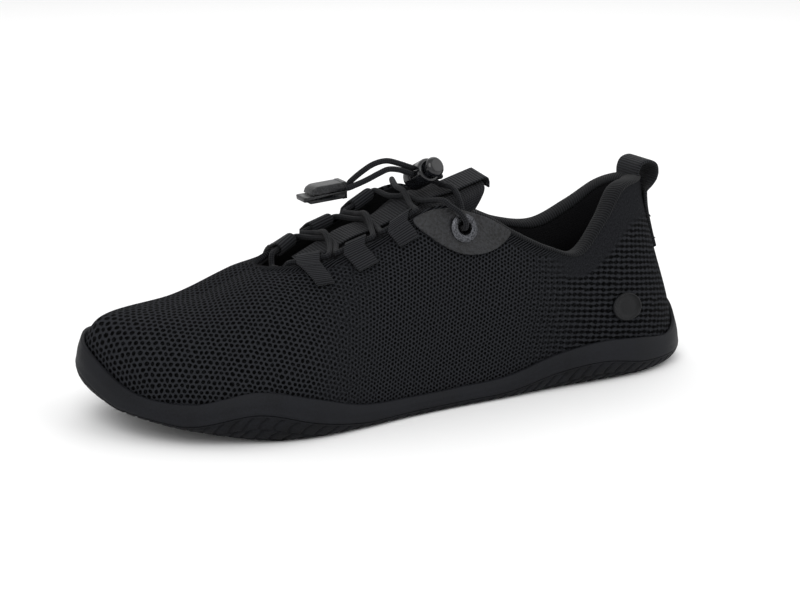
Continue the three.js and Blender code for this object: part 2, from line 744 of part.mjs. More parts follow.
function loopGeometry(station, side) {
  const outline2 = [];
  const low = loopRise;
  const high = loopRise + webbing;
  const start = Math.asin((low + eyeDrop) / eyeOuter);
  outline2.push([loopLength, low], [loopLength, high], [loopLength / 2, high], [0, high]);
  const arcs = 9;
  for (let n = 0; n <= arcs; n++) {
    const angle = Math.PI / 2 + (n / arcs) * (3 * Math.PI / 2 + start - 0.001);
    outline2.push([-eyePast + eyeOuter * Math.cos(angle), -eyeDrop + eyeOuter * Math.sin(angle)]);
  }
  outline2.push([loopLength / 2, low]);
  const shape = new THREE.Shape(outline2.map(([d, h]) => new THREE.Vector2(d, h)));
  const hole = new THREE.Path();
  hole.absarc(-eyePast, -eyeDrop, eyeInner, 0, 2 * Math.PI, true);
  shape.holes.push(hole);
  const block = new THREE.ExtrudeGeometry(shape, {
    depth: loopWidth, steps: 2, bevelEnabled: false, curveSegments: 5,
  });
  const p = block.attributes.position;
  for (let k = 0; k < p.count; k++) {
    const down = Math.max(0, p.getX(k)); // square to the edge, while the wall runs aslant
    const q = onWall(station, side, p.getZ(k) - loopWidth / 2 - loopSkew * down, p.getX(k), p.getY(k));
    p.setXYZ(k, q.x, q.y, q.z);
  }
  block.deleteAttribute("normal");
  block.deleteAttribute("uv");
  return faceOut(mergeVertices(block, 1e-3));
}

function lacingPieces() {
  [[1, "outer"], [-1, "inner"]].forEach(([side, word]) => {
    loopStations.forEach((station, n) => {
      add(`lace_loop_${word}_${n + 1}`, loopGeometry(station, side), looks.webbing);
    });
    add(`eyelet_patch_${word}`, cut(patchGeometry(side), punch(side)), looks.patch);
    const frame = eyeletFrame(side);
    const face = patchHeight + patchThickness + gap;
    const bore = eyeletBore / 2;
    const barrel = bore + 1.1;
    const inside = -(knitInside + gap + liningThickness + gap + eyeletFlat);
    const back = inside - washerThickness;
    const ring = new THREE.LatheGeometry([
      [bore, back], [bore, face + 0.5], [bore + 0.5, face + 1.1], [eyeletFlange / 2 - 1, face + 1.0],
      [eyeletFlange / 2, face], [barrel, face], [barrel, back], [bore, back],
    ].map(([r, z]) => new THREE.Vector2(r, z)), 14).rotateX(Math.PI / 2);
    add(`eyelet_${word}`, cleaned(ring), looks.metal, frame);
    const washer = new THREE.LatheGeometry([
      [barrel + gap, inside], [eyeletFlange / 2 - 0.6, inside], [eyeletFlange / 2 - 0.6, back],
      [barrel + gap, back], [barrel + gap, inside],
    ].map(([r, z]) => new THREE.Vector2(r, z)), 14).rotateX(Math.PI / 2);
    add(`eyelet_washer_${word}`, cleaned(washer), looks.metal, frame);
  });
}

function cleaned(geometry) {
  geometry.deleteAttribute("normal");
  geometry.deleteAttribute("uv");
  const merged = mergeVertices(geometry, 1e-4);
  const index = merged.index.array;
  const kept = [];
  for (let k = 0; k < index.length; k += 3) {
    const [a, b, c] = [index[k], index[k + 1], index[k + 2]];
    if (a !== b && b !== c && c !== a) kept.push(a, b, c);
  }
  merged.setIndex(kept);
  return faceOut(merged);
}

// Leaf-shaped eyelet reinforcement that follows the corner of the throat.
function patchGeometry(side) {
  const half = 24;
  const depth = 18;
  const shift = -1;
  const steps = 12;
  const sections = [];
  for (let n = 0; n <= steps; n++) {
    const f = -1 + 2 * n / steps;
    const a = shift + half * f;
    const near = 1.4 + (n === 0 || n === steps ? 0.5 : 0);
    const far = near + 0.6 + depth * (1 - f * f) ** 0.8;
    const ring = [];
    for (let m = 0; m <= 4; m++) ring.push([near + (far - near) * m / 4, patchHeight + patchThickness]);
    for (let m = 4; m >= 0; m--) ring.push([near + (far - near) * m / 4, patchHeight]);
    sections.push(ring.map(([d, h]) => onWall(eyeletStation, side, a, d, h)));
  }
  return loft(sections);
}

function heelBadge(side, word) {
  const station = side > 0 ? 3.22 : 3.15;
  const shape = new THREE.Shape();
  shape.absellipse(0, 0, badgeWidth / 2, badgeHeight / 2, 0, 2 * Math.PI);
  const rim = shape.getPoints(10).slice(0, -1);
  const drop = wallLength(side > 0 ? station : 2 * lastStations - station) * 0.66
    - (side > 0 ? 3.2 : 0);
  const at = (scale, h) => rim.map((p) => onWall(station, side, p.x * scale, drop + p.y * scale, h));
  const face = at(1, 1.5);
  const back = at(1, 0.6);
  const centreTop = onWall(station, side, 0, drop, 1.6);
  const centreBack = onWall(station, side, 0, drop, 0.6);
  const quads = [];
  rim.forEach((_, i) => {
    const j = (i + 1) % rim.length;
    quads.push([centreTop, face[i], face[j]], [centreBack, back[j], back[i]]);
    quads.push([face[i], back[i], back[j], face[j]]);
  });
  add(`heel_badge_${word}`, surface(quads), looks.patch);
}

function pullTab() {
  const heelTop = topAt(0);
  const back = (v, out) => {
    const p = wallAt(0, v);
    return vec(p.x - out, 0, p.z);
  };
  const route = [
    back(0.55, 1.5), back(0.68, 1.5), back(0.82, 1.9), vec(heelTop.x - 4.6, 0, heelTop.z - 4.2),
    vec(heelTop.x - 5.8, 0, heelTop.z + 0.8), vec(heelTop.x - 4.9, 0, heelTop.z + 4.4),
    vec(heelTop.x - 1.1, 0, heelTop.z + 6.2), vec(heelTop.x + 3, 0, heelTop.z + 5),
    vec(heelTop.x + 4.4, 0, heelTop.z + 2),
  ];
  const curve = new THREE.CatmullRomCurve3(route);
  const sections = [];
  const steps = 20;
  for (let n = 0; n <= steps; n++) {
    const p = curve.getPointAt(n / steps);
    const t = curve.getTangentAt(n / steps);
    const out = vec(-t.z, 0, t.x).multiplyScalar(tabThickness / 2);
    const wide = vec(0, tabWidth / 2, 0);
    sections.push([
      p.clone().add(out).add(wide), p.clone().sub(out).add(wide),
      p.clone().sub(out).sub(wide), p.clone().add(out).sub(wide),
    ]);
  }
  add("heel_pull_tab", loft(sections), looks.webbing);
}

function tube(points, diameter, steps, sides) {
  const curve = new THREE.CatmullRomCurve3(points, false, "centripetal");
  const section = new THREE.Shape();
  for (let n = 0; n < sides; n++) {
    const angle = 2 * Math.PI * n / sides;
    const [x, y] = [Math.cos(angle) * diameter / 2, Math.sin(angle) * diameter / 2];
    if (n === 0) section.moveTo(x, y);
    else section.lineTo(x, y);
  }
  section.closePath();
  const body = new THREE.ExtrudeGeometry(section, { steps, extrudePath: curve, bevelEnabled: false });
  return cleaned(body);
}

// The cord lock sits over the throat; the lace comes up through it and its tails run to the clip.
const lockAt = vec(-10, 1, 95.7);
const lockSlide = 6;
const cordWay = vec(0.93, 0.05, 0.36).normalize();
const barrelWay = vec(-0.054, 0.999, 0).multiplyScalar(0.866)
  .addScaledVector(vec(-0.36, -0.019, 0.933), 0.5).normalize();
const sideWay = barrelWay.clone().cross(cordWay);
const cordSpread = laceDiameter / 2 + 0.2;
const lockFrame = new THREE.Matrix4().makeBasis(cordWay, sideWay, barrelWay).setPosition(lockAt);
const inLock = (x, y, z) => vec(x, y, z).applyMatrix4(lockFrame);
const tailStart = -toggleDiameter / 2 - 2;
const clipTop = vec(28.5, 3, 93.4);
const clipTip = vec(48.4, 3, 91.8);

const onEyelet = (side, h) => vec(0, 0, h).applyMatrix4(eyeletFrame(side));

// The lace from the lock on one side, through every eye, back to the lock on the other side.
function laceRoute() {
  const rowAt = (k) => 2 + (k - tongueStations[0]) * 2;
  const eye = (n, side, a) => onWall(loopStations[n], side, a, -eyePast, -eyeDrop);
  const through = (n, side, way) => [-1.35, -0.9, -0.4, 0, 0.4, 0.9, 1.35].map(
    (f) => eye(n, side, way * f * (loopWidth / 2 + 1.2)),
  );
  const inside = -(knitInside + gap + liningThickness + gap + eyeletFlat + washerThickness
    + gap + laceDiameter / 2 + 0.1);
  const cross = (k, from, upper, skew = 0.05) => {
    const lift = ribbonRise + ribbonThickness + gap + laceDiameter / 2;
    const over = upper ? laceDiameter + gap : 0;
    return [
      onTongue(rowAt(k - skew), -0.62 * from, lift + 0.5 + over * 0.45),
      onTongue(rowAt(k), 0, lift + 0.2 + over),
      onTongue(rowAt(k + skew), 0.62 * from, lift + 0.5 + over * 0.45),
    ];
  };
  const gate = (side) => [
    inLock(-toggleDiameter / 2 - 2.3, side * cordSpread, 0),
    inLock(-toggleDiameter / 2 - 4.5, side * cordSpread * 1.3, 0),
    onTongue(rowAt(7.3), -0.5 * side, 4),
    onTongue(rowAt(7.25), -0.95 * side, 2.6),
    onWall(eyeletStation, side, 0, 0.5, inside),
    onWall(eyeletStation, side, 0, eyeletDrop - 4.6, inside),
    onEyelet(side, inside + 1.3), onEyelet(side, -3), onEyelet(side, 0), onEyelet(side, 2.6),
    onWall(eyeletStation, side, 1.2, eyeletDrop - 1.8, 4.9), onWall(eyeletStation, side, 4.5, eyeletDrop - 5, 5),
    onWall(eyeletStation, side, 9, 1, 3.6), onWall(eyeletStation, side, 11.5, -1.6, 2.4),
  ];
  const x1 = loopStations[2] - 0.44;
  const x2 = (loopStations[2] + loopStations[1]) / 2;
  const x3 = (loopStations[1] + loopStations[0]) / 2;
  const bar = loopStations[0] + 0.42;
  return [
    ...gate(1), ...cross(x1, 1, false, 0.1), ...through(2, -1, 1), ...cross(x2, -1, true),
    ...through(1, 1, 1), ...cross(x3, 1, false), ...through(0, -1, 1),
    onTongue(rowAt(bar), 0.7, 3.2), onTongue(rowAt(bar + 0.04), 0, 3.2), onTongue(rowAt(bar), -0.7, 3.2),
    ...through(0, 1, -1), ...cross(x3, 1, true, -0.05), ...through(1, -1, -1), ...cross(x2, -1, false, -0.05),
    ...through(2, 1, -1), ...cross(x1, 1, true, -0.1), ...gate(-1).toReversed(),
  ];
}

function lace() {
  add("lace", tube(laceRoute(), laceDiameter, 180, 6), looks.cord);
}

// Tails from the lock to the clip, chosen by hand after the straight stretch.
const tailPoints = {
  outer: [vec(7.2, 3.4, 99.7), vec(12, 4.2, 98.5), vec(18, 4.5, 96.2), vec(23.5, 4.5, 94.4)],
  inner: [vec(7, 1.2, 103), vec(13, 1.3, 102.2), vec(19, 1.4, 99.2), vec(24.2, 1.5, 95.6)],
};
function tailRoute(word) {
  const side = word === "outer" ? 1 : -1;
  const clipWay = clipTip.clone().sub(clipTop).normalize();
  const y = side * cordSpread;
  const straight = [tailStart, tailStart / 2, 0, 4, 8, toggleDiameter / 2 + lockSlide].map((x) => inLock(x, y, 0));
  const enter = [-2.2, 1.5, clipCordDepth - 0.4].map(
    (x) => clipTop.clone().addScaledVector(clipWay, x).add(vec(0, y, 0)),
  );
  return [...straight, ...tailPoints[word], ...enter];
}
const clipCordDepth = 6;
function tails() {
  for (const word of ["outer", "inner"]) {
    add(`lace_tail_${word}`, tube(tailRoute(word), laceDiameter, 26, 8), looks.cord);
  }
}

function lathe(profile, segments) {
  return cleaned(new THREE.LatheGeometry(profile.map(([r, z]) => new THREE.Vector2(r, z)), segments)
    .rotateX(Math.PI / 2));
}

function cordLock() {
  const radius = toggleDiameter / 2;
  const bottom = -toggleLength * 0.57;
  const top = toggleLength * 0.43;
  const body = lathe([
    [0, bottom], [radius - 2.2, bottom], [radius - 0.7, bottom + 0.7], [radius, bottom + 2.4],
    [radius, top - 1.2], [radius - 1, top], [0, top],
  ], 20);
  const bore = lathe([
    [0, bottom + 1.2], [plungerDiameter / 2 + gap, bottom + 1.2], [plungerDiameter / 2 + gap, top + 1],
    [0, top + 1],
  ], 16);
  const slotWide = 2 * (cordSpread + laceDiameter / 2 + gap + 0.05);
  const slotHigh = laceDiameter + 2 * gap + 0.1;
  const slot = new THREE.BoxGeometry(2 * radius + 4, slotWide, slotHigh);
  add("cord_lock_body", cut(body, bore, slot), looks.plastic, lockFrame);
  const foot = -slotHigh / 2 - 1.2;
  const stem = lathe([
    [0, foot], [plungerDiameter / 2, foot], [plungerDiameter / 2, top + plungerTravel + gap],
    [plungerDiameter / 2 + 0.7, top + plungerTravel + gap + 0.5],
    [plungerDiameter / 2 + 0.5, top + plungerTravel + gap + 2],
    [plungerDiameter / 2 - 1, top + plungerTravel + gap + 2.8], [0, top + plungerTravel + gap + 2.8],
  ], 12);
  const long = new THREE.BoxGeometry(2 * radius, slotWide, slotHigh + plungerTravel + gap)
    .translate(0, 0, (plungerTravel + gap) / 2);
  add("cord_lock_plunger", cut(stem, long), looks.plastic, lockFrame);
  const coil = [];
  const turns = 2;
  for (let n = 0; n <= turns * 8; n++) {
    const angle = n * Math.PI / 4;
    const height = bottom + 1.2 + 0.65 + (foot - 0.65 - bottom - 1.2 - 0.65) * n / (turns * 8);
    coil.push(vec(2.6 * Math.cos(angle), 2.6 * Math.sin(angle), height));
  }
  add("cord_lock_spring", tube(coil, 0.6, turns * 10, 5), looks.spring, lockFrame);
}

// Two halves of the clip that holds the cord ends, closed on each other.
function cordClip() {
  const x = clipTip.clone().sub(clipTop).normalize();
  const y = vec(0, 1, 0);
  const z = x.clone().cross(y).normalize();
  const frame = new THREE.Matrix4().makeBasis(x, y, z).setPosition(clipTop);
  const half = clipHeight / 2;
  const drills = [-1, 1].map((side) => new THREE.CylinderGeometry(
    laceDiameter / 2 + gap, laceDiameter / 2 + gap, 2 * clipCordDepth, 10,
  ).rotateZ(Math.PI / 2).translate(0, side * cordSpread, 0));
  const block = (points) => {
    const shape = new THREE.Shape(points.map(([a, b]) => new THREE.Vector2(a, b)));
    const made = new THREE.ExtrudeGeometry(shape, {
      depth: clipWidth - 1.6, bevelEnabled: true, bevelThickness: 0.8, bevelSize: 0.5, bevelSegments: 1,
      bevelOffset: -0.5,
    });
    return cleaned(made.translate(0, 0, -(clipWidth - 1.6) / 2).rotateX(Math.PI / 2));
  };
  const seam = gap / 2;
  const lid = block([
    [0, seam], [clipLength - 3.5, seam], [clipLength - 4.2, half - 1.4], [clipLength - 6.5, half - 0.2],
    [2.2, half - 0.2], [2, half], [0, half],
  ]);
  const tray = block([
    [0, -half], [2, -half], [2.2, 0.2 - half], [clipLength - 3, 0.2 - half], [clipLength - 2, 1.2 - half],
    [clipLength, 1.4 - half], [clipLength, -seam - 0.4], [clipLength - 0.6, -seam], [0, -seam],
  ]);
  add("cord_end_lid", cut(lid, ...drills), looks.clip, frame);
  add("cord_end_tray", cut(tray, ...drills), looks.clip, frame);
}

solePieces();
upperPieces();
tongue();
tongueRibbon();
lacingPieces();
heelBadge(1, "outer");
heelBadge(-1, "inner");
pullTab();
lace();
tails();
cordLock();
cordClip();

export default shoe;
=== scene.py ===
# Low knitted running shoe, left foot, with elastic lacing and a cord lock.
# Lengths are in millimetres until a mesh is made; +X is the toe, +Y the outer side, +Z up.
import math

import bmesh
import bpy
import numpy as np
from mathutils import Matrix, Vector


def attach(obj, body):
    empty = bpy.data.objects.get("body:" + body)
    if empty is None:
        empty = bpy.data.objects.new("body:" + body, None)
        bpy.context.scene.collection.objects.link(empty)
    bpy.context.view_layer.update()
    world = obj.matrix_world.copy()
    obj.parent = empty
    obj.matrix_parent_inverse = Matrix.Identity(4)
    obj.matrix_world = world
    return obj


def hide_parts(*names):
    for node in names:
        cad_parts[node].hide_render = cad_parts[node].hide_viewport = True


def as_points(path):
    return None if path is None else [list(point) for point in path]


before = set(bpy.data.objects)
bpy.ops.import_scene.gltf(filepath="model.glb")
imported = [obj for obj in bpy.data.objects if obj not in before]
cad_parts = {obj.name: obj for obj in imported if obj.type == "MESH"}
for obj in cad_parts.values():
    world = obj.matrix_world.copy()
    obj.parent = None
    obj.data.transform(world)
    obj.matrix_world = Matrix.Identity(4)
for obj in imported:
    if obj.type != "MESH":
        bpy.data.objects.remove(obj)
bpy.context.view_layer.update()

# Camera first, then the pieces
camera = {"place": (0.3599, 0.7380, 0.2600), "target": (0.0, 0.0, 0.04), "lens": 86.94, "sensor": 36}

lens = bpy.data.cameras.new("camera")
lens.lens = camera["lens"]
lens.sensor_width = camera["sensor"]
eye = bpy.data.objects.new("camera", lens)
bpy.context.scene.collection.objects.link(eye)
eye.location = camera["place"]
eye.rotation_euler = (Vector(camera["target"]) - eye.location).to_track_quat("-Z", "Y").to_euler()
bpy.context.scene.camera = eye

# The last, one line for each station from heel to toe: x and y of the sole's outline,
# height of the sole's lip, height of the parting line, tuck of the tread under the outline,
# x y z of the top line, lean of the wall at the top line in degrees.
outerSide = [
    [-142.5, 0, 24.5, 6.5, 10, -121, 0, 87, 78],
    [-138, 14, 17.5, 6.5, 9, -113.5, 12, 87.5, 78],
    [-125.5, 26, 14.5, 6.5, 8.5, -101, 19, 85.5, 77],
    [-107, 33.3, 17, 7, 8, -89, 24, 73, 74],
    [-84, 36.4, 18.6, 10.4, 8, -75, 27, 60.5, 76],
    [-60, 37, 16, 8.7, 7.5, -59, 28, 64.5, 72],
    [-35, 37.6, 9.6, 3.6, 5, -42, 27.5, 72.8, 66],
    [-10, 39.2, 8.4, 3, 4, -26, 26, 82, 60],
    [14, 42.3, 8.4, 3, 4, -5, 22.5, 85.5, 50],
    [38, 47.4, 10, 3.2, 5, 20, 20, 73.5, 44],
    [62, 51.8, 16.7, 7.6, 7, 45, 17.5, 65.6, 38],
    [87, 49.3, 21.5, 13.8, 9, 66, -5, 62, 0],
    [112, 37.5, 17, 9, 11, 90, -9, 51, 0],
    [132, 17, 20, 10.5, 12, 114, -12, 47.5, 5],
    [142.5, -13, 33.5, 22, 16, 132.5, -13, 45.6, 12],
]
innerSide = [
    [-138, -13, 17.5, 6.5, 9, -116, -9.5, 86, 78],
    [-126, -24.5, 15, 6.5, 8.5, -107.5, -16.5, 82, 77],
    [-107, -31.5, 17, 7, 8, -95.5, -22, 73, 75],
    [-84, -33, 19, 9, 8, -79, -26, 64.8, 76],
    [-60, -32, 19, 9, 7.5, -60, -27, 67.5, 72],
    [-35, -31.5, 18, 8, 6, -42.5, -26.5, 75, 66],
    [-10, -33.5, 17, 7, 6, -26, -26, 83, 60],
    [14, -38, 16.5, 6, 6, -5, -25.5, 86, 50],
    [38, -45.5, 16.5, 6.5, 6, 20, -24.5, 74.5, 44],
    [62, -51.3, 17, 7.5, 7, 45, -22.5, 66.2, 38],
    [86, -52, 19.5, 10, 9, 66, -5, 62, 0],
    [111, -49.5, 26, 15, 11, 90, -9, 51, 0],
    [134, -35, 35, 23, 14, 114, -12, 47.5, 5],
]
last = {"length": 285, "width": 104, "stations": 14, "throat": 11, "lipRow": 2,
        "topRow": 8, "columns": 448, "levels": 97}
ring = 2 * last["stations"]
ringTable = np.array(outerSide + innerSide[::-1], float)
layers = {"gap": 0.3, "treadPlate": 2.4, "cupPlate": 2.5, "board": 0.8, "soleWall": 3.8,
          "cupWall": 1.5, "lip": 1.9, "knit": 1.8, "lining": 1.0, "stiffener": 0.9, "foam": 5.5,
          "insole": 3.6, "binding": 2.6, "bindingStart": 7.2}
gap = layers["gap"]
baseStack = layers["treadPlate"] + layers["cupPlate"] + layers["board"] + 3 * gap


def unit(v):
    return v / np.maximum(np.linalg.norm(v, axis=-1, keepdims=True), 1e-9)


def smooth(x, low, high):
    t = np.clip((np.asarray(x, float) - low) / (high - low), 0, 1)
    return t * t * (3 - 2 * t)


def catmull(a, b, c, d, f):
    m0, m1 = (c - a) / 2, (d - b) / 2
    return ((2 * f**3 - 3 * f**2 + 1) * b + (f**3 - 2 * f**2 + f) * m0
            + (3 * f**2 - 2 * f**3) * c + (f**3 - f**2) * m1)


def around(column, s):
    i = np.floor(s).astype(int)
    value = lambda j: ringTable[j % ring, column]
    return catmull(value(i - 1), value(i), value(i + 1), value(i + 2), s - i)


def fromHeel(s):
    s = np.asarray(s, float) % ring
    return np.minimum(s, ring - s)


# The top line: the collar and throat edge is one curve, the ridge of the toe another.
def topColumn(column, s):
    s = np.asarray(s, float) % ring
    k = fromHeel(s)
    outer = s <= last["stations"]
    ridge = k >= last["throat"]
    i = np.minimum(np.floor(k), np.where(ridge, last["stations"] - 1, last["throat"] - 1)).astype(int)
    first = np.where(ridge, last["throat"], -last["stations"])
    final = np.where(ridge, last["stations"], last["throat"])
    value = lambda v: ringTable[np.where(outer, v, -v) % ring, column]

    def at(j):
        m = np.clip(j, first, final)
        plain, mirrored = value(m), value(2 * m - j)
        turned = ~ridge & (column != 6)
        return np.where(j == m, plain, np.where(turned, mirrored, 2 * plain - mirrored))

    return catmull(at(i - 1), at(i), at(i + 1), at(i + 2), k - i)


halfSteps = np.arange(2 * ring) / 2
spanX = (around(0, halfSteps).min(), around(0, halfSteps).max())
spanY = (around(1, halfSteps).min(), around(1, halfSteps).max())


def fitX(x):
    return (x - sum(spanX) / 2) * last["length"] / (spanX[1] - spanX[0])


def fitY(y):
    return (y - sum(spanY) / 2) * last["width"] / (spanY[1] - spanY[0])


def springAt(x):
    return 10 * (np.maximum(0, x - 75) / 62) ** 1.3


def outline(s):
    x = fitX(around(0, s))
    return np.stack([x, fitY(around(1, s)), 0 * x], -1)


def outward(s):
    t = outline(s + 0.02) - outline(s - 0.02)
    return unit(np.stack([-t[..., 1], t[..., 0], 0 * t[..., 0]], -1))


# The outside of the sole: a quarter ellipse from the ground to the outline.
class Hull:
    def __init__(self, s):
        self.rim, self.out, self.tuck = outline(s), outward(s), around(4, s)
        foot = springAt(self.rim[:, 0])
        self.part = np.maximum(around(3, s), foot + layers["treadPlate"] + 0.6)
        self.wide = self.part + 1
        self.turn = np.arccos(1 - (self.part - foot) / (self.wide - foot))

    def inward(self, inset):
        return self.rim - self.out * np.reshape(inset, (-1, 1))

    def at(self, angle):
        p = self.inward(self.tuck * (1 - np.sin(angle)))
        low = springAt(p[:, 0])
        p[:, 2] = low + (self.wide - low) * (1 - np.cos(angle))
        return p

    def heightAt(self, inset):
        c = np.maximum(0, 1 - inset / self.tuck)
        low = springAt(self.inward(inset + 0 * self.tuck)[:, 0])
        return low + (self.wide - low) * (1 - np.sqrt(1 - c * c))


def buildLast():
    s = np.arange(last["columns"]) * ring / last["columns"]
    k = fromHeel(s)
    hull = Hull(s)
    base = hull.inward(layers["soleWall"] + 0 * s)
    base[:, 2] = hull.heightAt(layers["soleWall"]) + baseStack
    top = np.stack([fitX(topColumn(5, s)), fitY(topColumn(6, s)), topColumn(7, s)], -1)
    lean = np.radians(topColumn(8, s))[:, None]
    flat = (top - base) * [1, 1, 0]
    reach = np.linalg.norm(flat, axis=1, keepdims=True)
    rise = (top - base)[:, 2:]
    up = np.array([[0, 0, 1.0]])
    end = flat / reach * np.cos(lean) + up * np.sin(lean)
    pull = 0.55 * (reach * np.cos(lean) + rise * np.sin(lean))
    full, toeBox = smooth(k, 0, 4)[:, None], smooth(k, 11.4, 13.4)[:, None]
    p1 = base + up * (0.33 + 0.17 * full + 0.45 * toeBox) * rise
    p2 = top - end * pull
    t = np.linspace(0, 1, 241)[None, :, None]
    curve = ((1 - t)**3 * base[:, None] + 3 * t * (1 - t)**2 * p1[:, None]
             + 3 * t**2 * (1 - t) * p2[:, None] + t**3 * top[:, None])
    run = np.concatenate([0 * s[:, None], np.cumsum(np.linalg.norm(np.diff(curve, axis=1), axis=2), 1)], 1)
    level = np.linspace(0, 1, last["levels"])
    points = np.stack([[np.interp(level * run[i, -1], run[i], curve[i, :, axis]) for axis in range(3)]
                       for i in range(len(s))]).transpose(0, 2, 1)
    near = (smooth(points[..., 0], 96, 122) * smooth(points[..., 2], 33, 42))[..., None]
    twins = (-np.arange(len(s))) % len(s)
    for _ in range(60):  # rounds the crest at the toe, where both sides meet
        above = np.where((k >= last["throat"])[:, None], points[twins, -2], points[:, -1])
        ringed = np.concatenate([points[:, :1], points, above[:, None]], 1)
        mean = (ringed[:, 2:] + ringed[:, :-2] + np.roll(points, 1, 0) + np.roll(points, -1, 0)) / 4
        points = points + (mean - points) * near * 0.9
    along = np.roll(points, -1, 0) - np.roll(points, 1, 0)
    normals = unit(np.cross(np.gradient(points, axis=1), along))
    vamp = np.where(k >= last["throat"])[0]
    both = normals[vamp, -1] + normals[(-vamp) % len(s), -1]
    normals[vamp, -1] = unit(both)
    goal = np.maximum(around(2, s), base[:, 2] + 1.6)
    low = int(0.8 * last["levels"])
    lip = np.array([np.interp(goal[i], points[i, :low, 2], level[:low]) for i in range(len(s))])
    return {"points": points, "normals": normals, "length": run[:, -1], "lip": lip,
            "end": unit(points[:, -1] - points[:, -2]), "top": top}


wall = buildLast()


# Value of a table of the last at ring positions s (and levels v), between its columns.
def read(name, s, v=None):
    table = wall[name]
    at = (np.asarray(s, float) % ring) * last["columns"] / ring
    i = np.floor(at).astype(int) % last["columns"]
    j = (i + 1) % last["columns"]
    f = at - np.floor(at)
    if v is None:
        f = f[..., None] if table.ndim > 1 else f
        return table[i] * (1 - f) + table[j] * f
    level = np.clip(v, 0, 1) * (last["levels"] - 1)
    m = np.minimum(np.floor(level).astype(int), last["levels"] - 2)
    g, f = (level - m)[..., None], f[..., None]
    return ((table[i, m] * (1 - f) + table[j, m] * f) * (1 - g)
            + (table[i, m + 1] * (1 - f) + table[j, m + 1] * f) * g)


def wallAt(s, v):
    s, v = np.broadcast_arrays(np.asarray(s, float), np.asarray(v, float))
    past = (np.maximum(0, v - 1) * read("length", s))[..., None]
    return read("points", s, v) + read("end", s) * past


def levelOf(s, r):
    lip = read("lip", s)
    share = smooth(layers["bindingStart"] + 0.6 - fromHeel(s), 0, 0.8)
    top = 1 - share * layers["binding"] / read("length", s)
    low, high = last["lipRow"], last["topRow"]
    return np.where(r <= low, lip * r / low, lip + (top - lip) * (r - low) / (high - low))


def layerAt(s, r, offset):
    s, r = np.broadcast_arrays(np.asarray(s, float), np.asarray(r, float))
    v = levelOf(s, r)
    return wallAt(s, v) + unit(read("normals", s, v)) * np.broadcast_to(offset, s.shape)[..., None]


# On the wall: a mm along the edge towards the toe, d mm down from it, h mm out from the knit.
def onWall(station, side, a, d, h):
    a, d, h = np.broadcast_arrays(*(np.asarray(x, float) for x in (a, d, h)))
    turn = lambda k: k if side > 0 else ring - k
    ends = read("top", np.array([turn(station + 0.02), turn(station - 0.02)]))
    pace = np.linalg.norm(ends[0] - ends[1]) / 0.04
    s = turn(station + a / pace)
    v = 1 - d / read("length", s)
    return wallAt(s, v) + unit(read("normals", s, v)) * h[..., None]


# Depth of each layer inside the knit
def foamAt(k, r):
    return layers["foam"] * smooth(6.2 - k, 0, 2.6) * smooth(r, 4.2, 6.8)


def stiffenerAt(k, r):
    heel = smooth(4.6 - k, 0, 0.8) * smooth(5.6 - r, 0, 1)
    toe = smooth(k, 11.4, 12.2) * smooth(7.6 - r, 0, 1.4)
    return (layers["stiffener"] + gap) * np.maximum(heel, toe)


def liningOutside(k, r):
    foam = foamAt(k, r)
    return (layers["knit"] + gap + 0.25 * smooth(k, 12.2, 13) + stiffenerAt(k, r)
            + foam + gap * smooth(foam, 0, 0.6))


print("last shaped", wall["points"].shape)


# Makes an object from points in mm, quads or polygons, and maps given for each corner.
def makeObject(name, points, faces, maps=None, body="shoe", slot=None, node=None, material=None,
               flat=False):
    faces = [np.asarray(f) for f in faces] if not isinstance(faces, np.ndarray) else faces
    counts = np.array([len(f) for f in faces])
    loops = np.concatenate([f.ravel() for f in faces]) if isinstance(faces, list) else faces.ravel()
    used, loops = np.unique(loops, return_inverse=True)
    mesh = bpy.data.meshes.new(name)
    mesh.vertices.add(len(used))
    mesh.vertices.foreach_set("co", (np.asarray(points, float)[used] * 0.001).ravel())
    mesh.loops.add(len(loops))
    mesh.loops.foreach_set("vertex_index", loops.ravel().astype(np.int32))
    mesh.polygons.add(len(counts))
    mesh.polygons.foreach_set("loop_start", np.concatenate([[0], np.cumsum(counts)[:-1]]).astype(np.int32))
    for key, values in (maps or {}).items():
        mesh.uv_layers.new(name=key).data.foreach_set("uv", np.asarray(values, np.float32).ravel())
    mesh.update(calc_edges=True)
    mesh.validate()
    piece = bpy.data.objects.new(name, mesh)
    bpy.context.scene.collection.objects.link(piece)
    mesh.polygons.foreach_set("use_smooth", [not flat] * len(mesh.polygons))
    if material:
        mesh.materials.append(material)
    if body:
        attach(piece, body)
    if node:
        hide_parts(*([node] if isinstance(node, str) else node))
    return piece


# Faces and corner maps of a grid of points, joined round on i or j if told.
def gridFaces(ni, nj, loopI=False, loopJ=False, ids=None, keep=None, flip=False):
    ids = np.arange(ni * nj).reshape(ni, nj) if ids is None else ids
    i, j = np.meshgrid(np.arange(ni if loopI else ni - 1), np.arange(nj if loopJ else nj - 1), indexing="ij")
    if keep is not None:
        i, j = i[keep(i, j)], j[keep(i, j)]
    corners = [(i, j), (i + 1, j), (i + 1, j + 1), (i, j + 1)]
    if flip:
        corners.reverse()
    quads = np.stack([ids[a % ni, b % nj].ravel() for a, b in corners], -1)
    places = np.stack([(a * (nj + 1) + b).ravel() for a, b in corners], -1)
    return quads, places


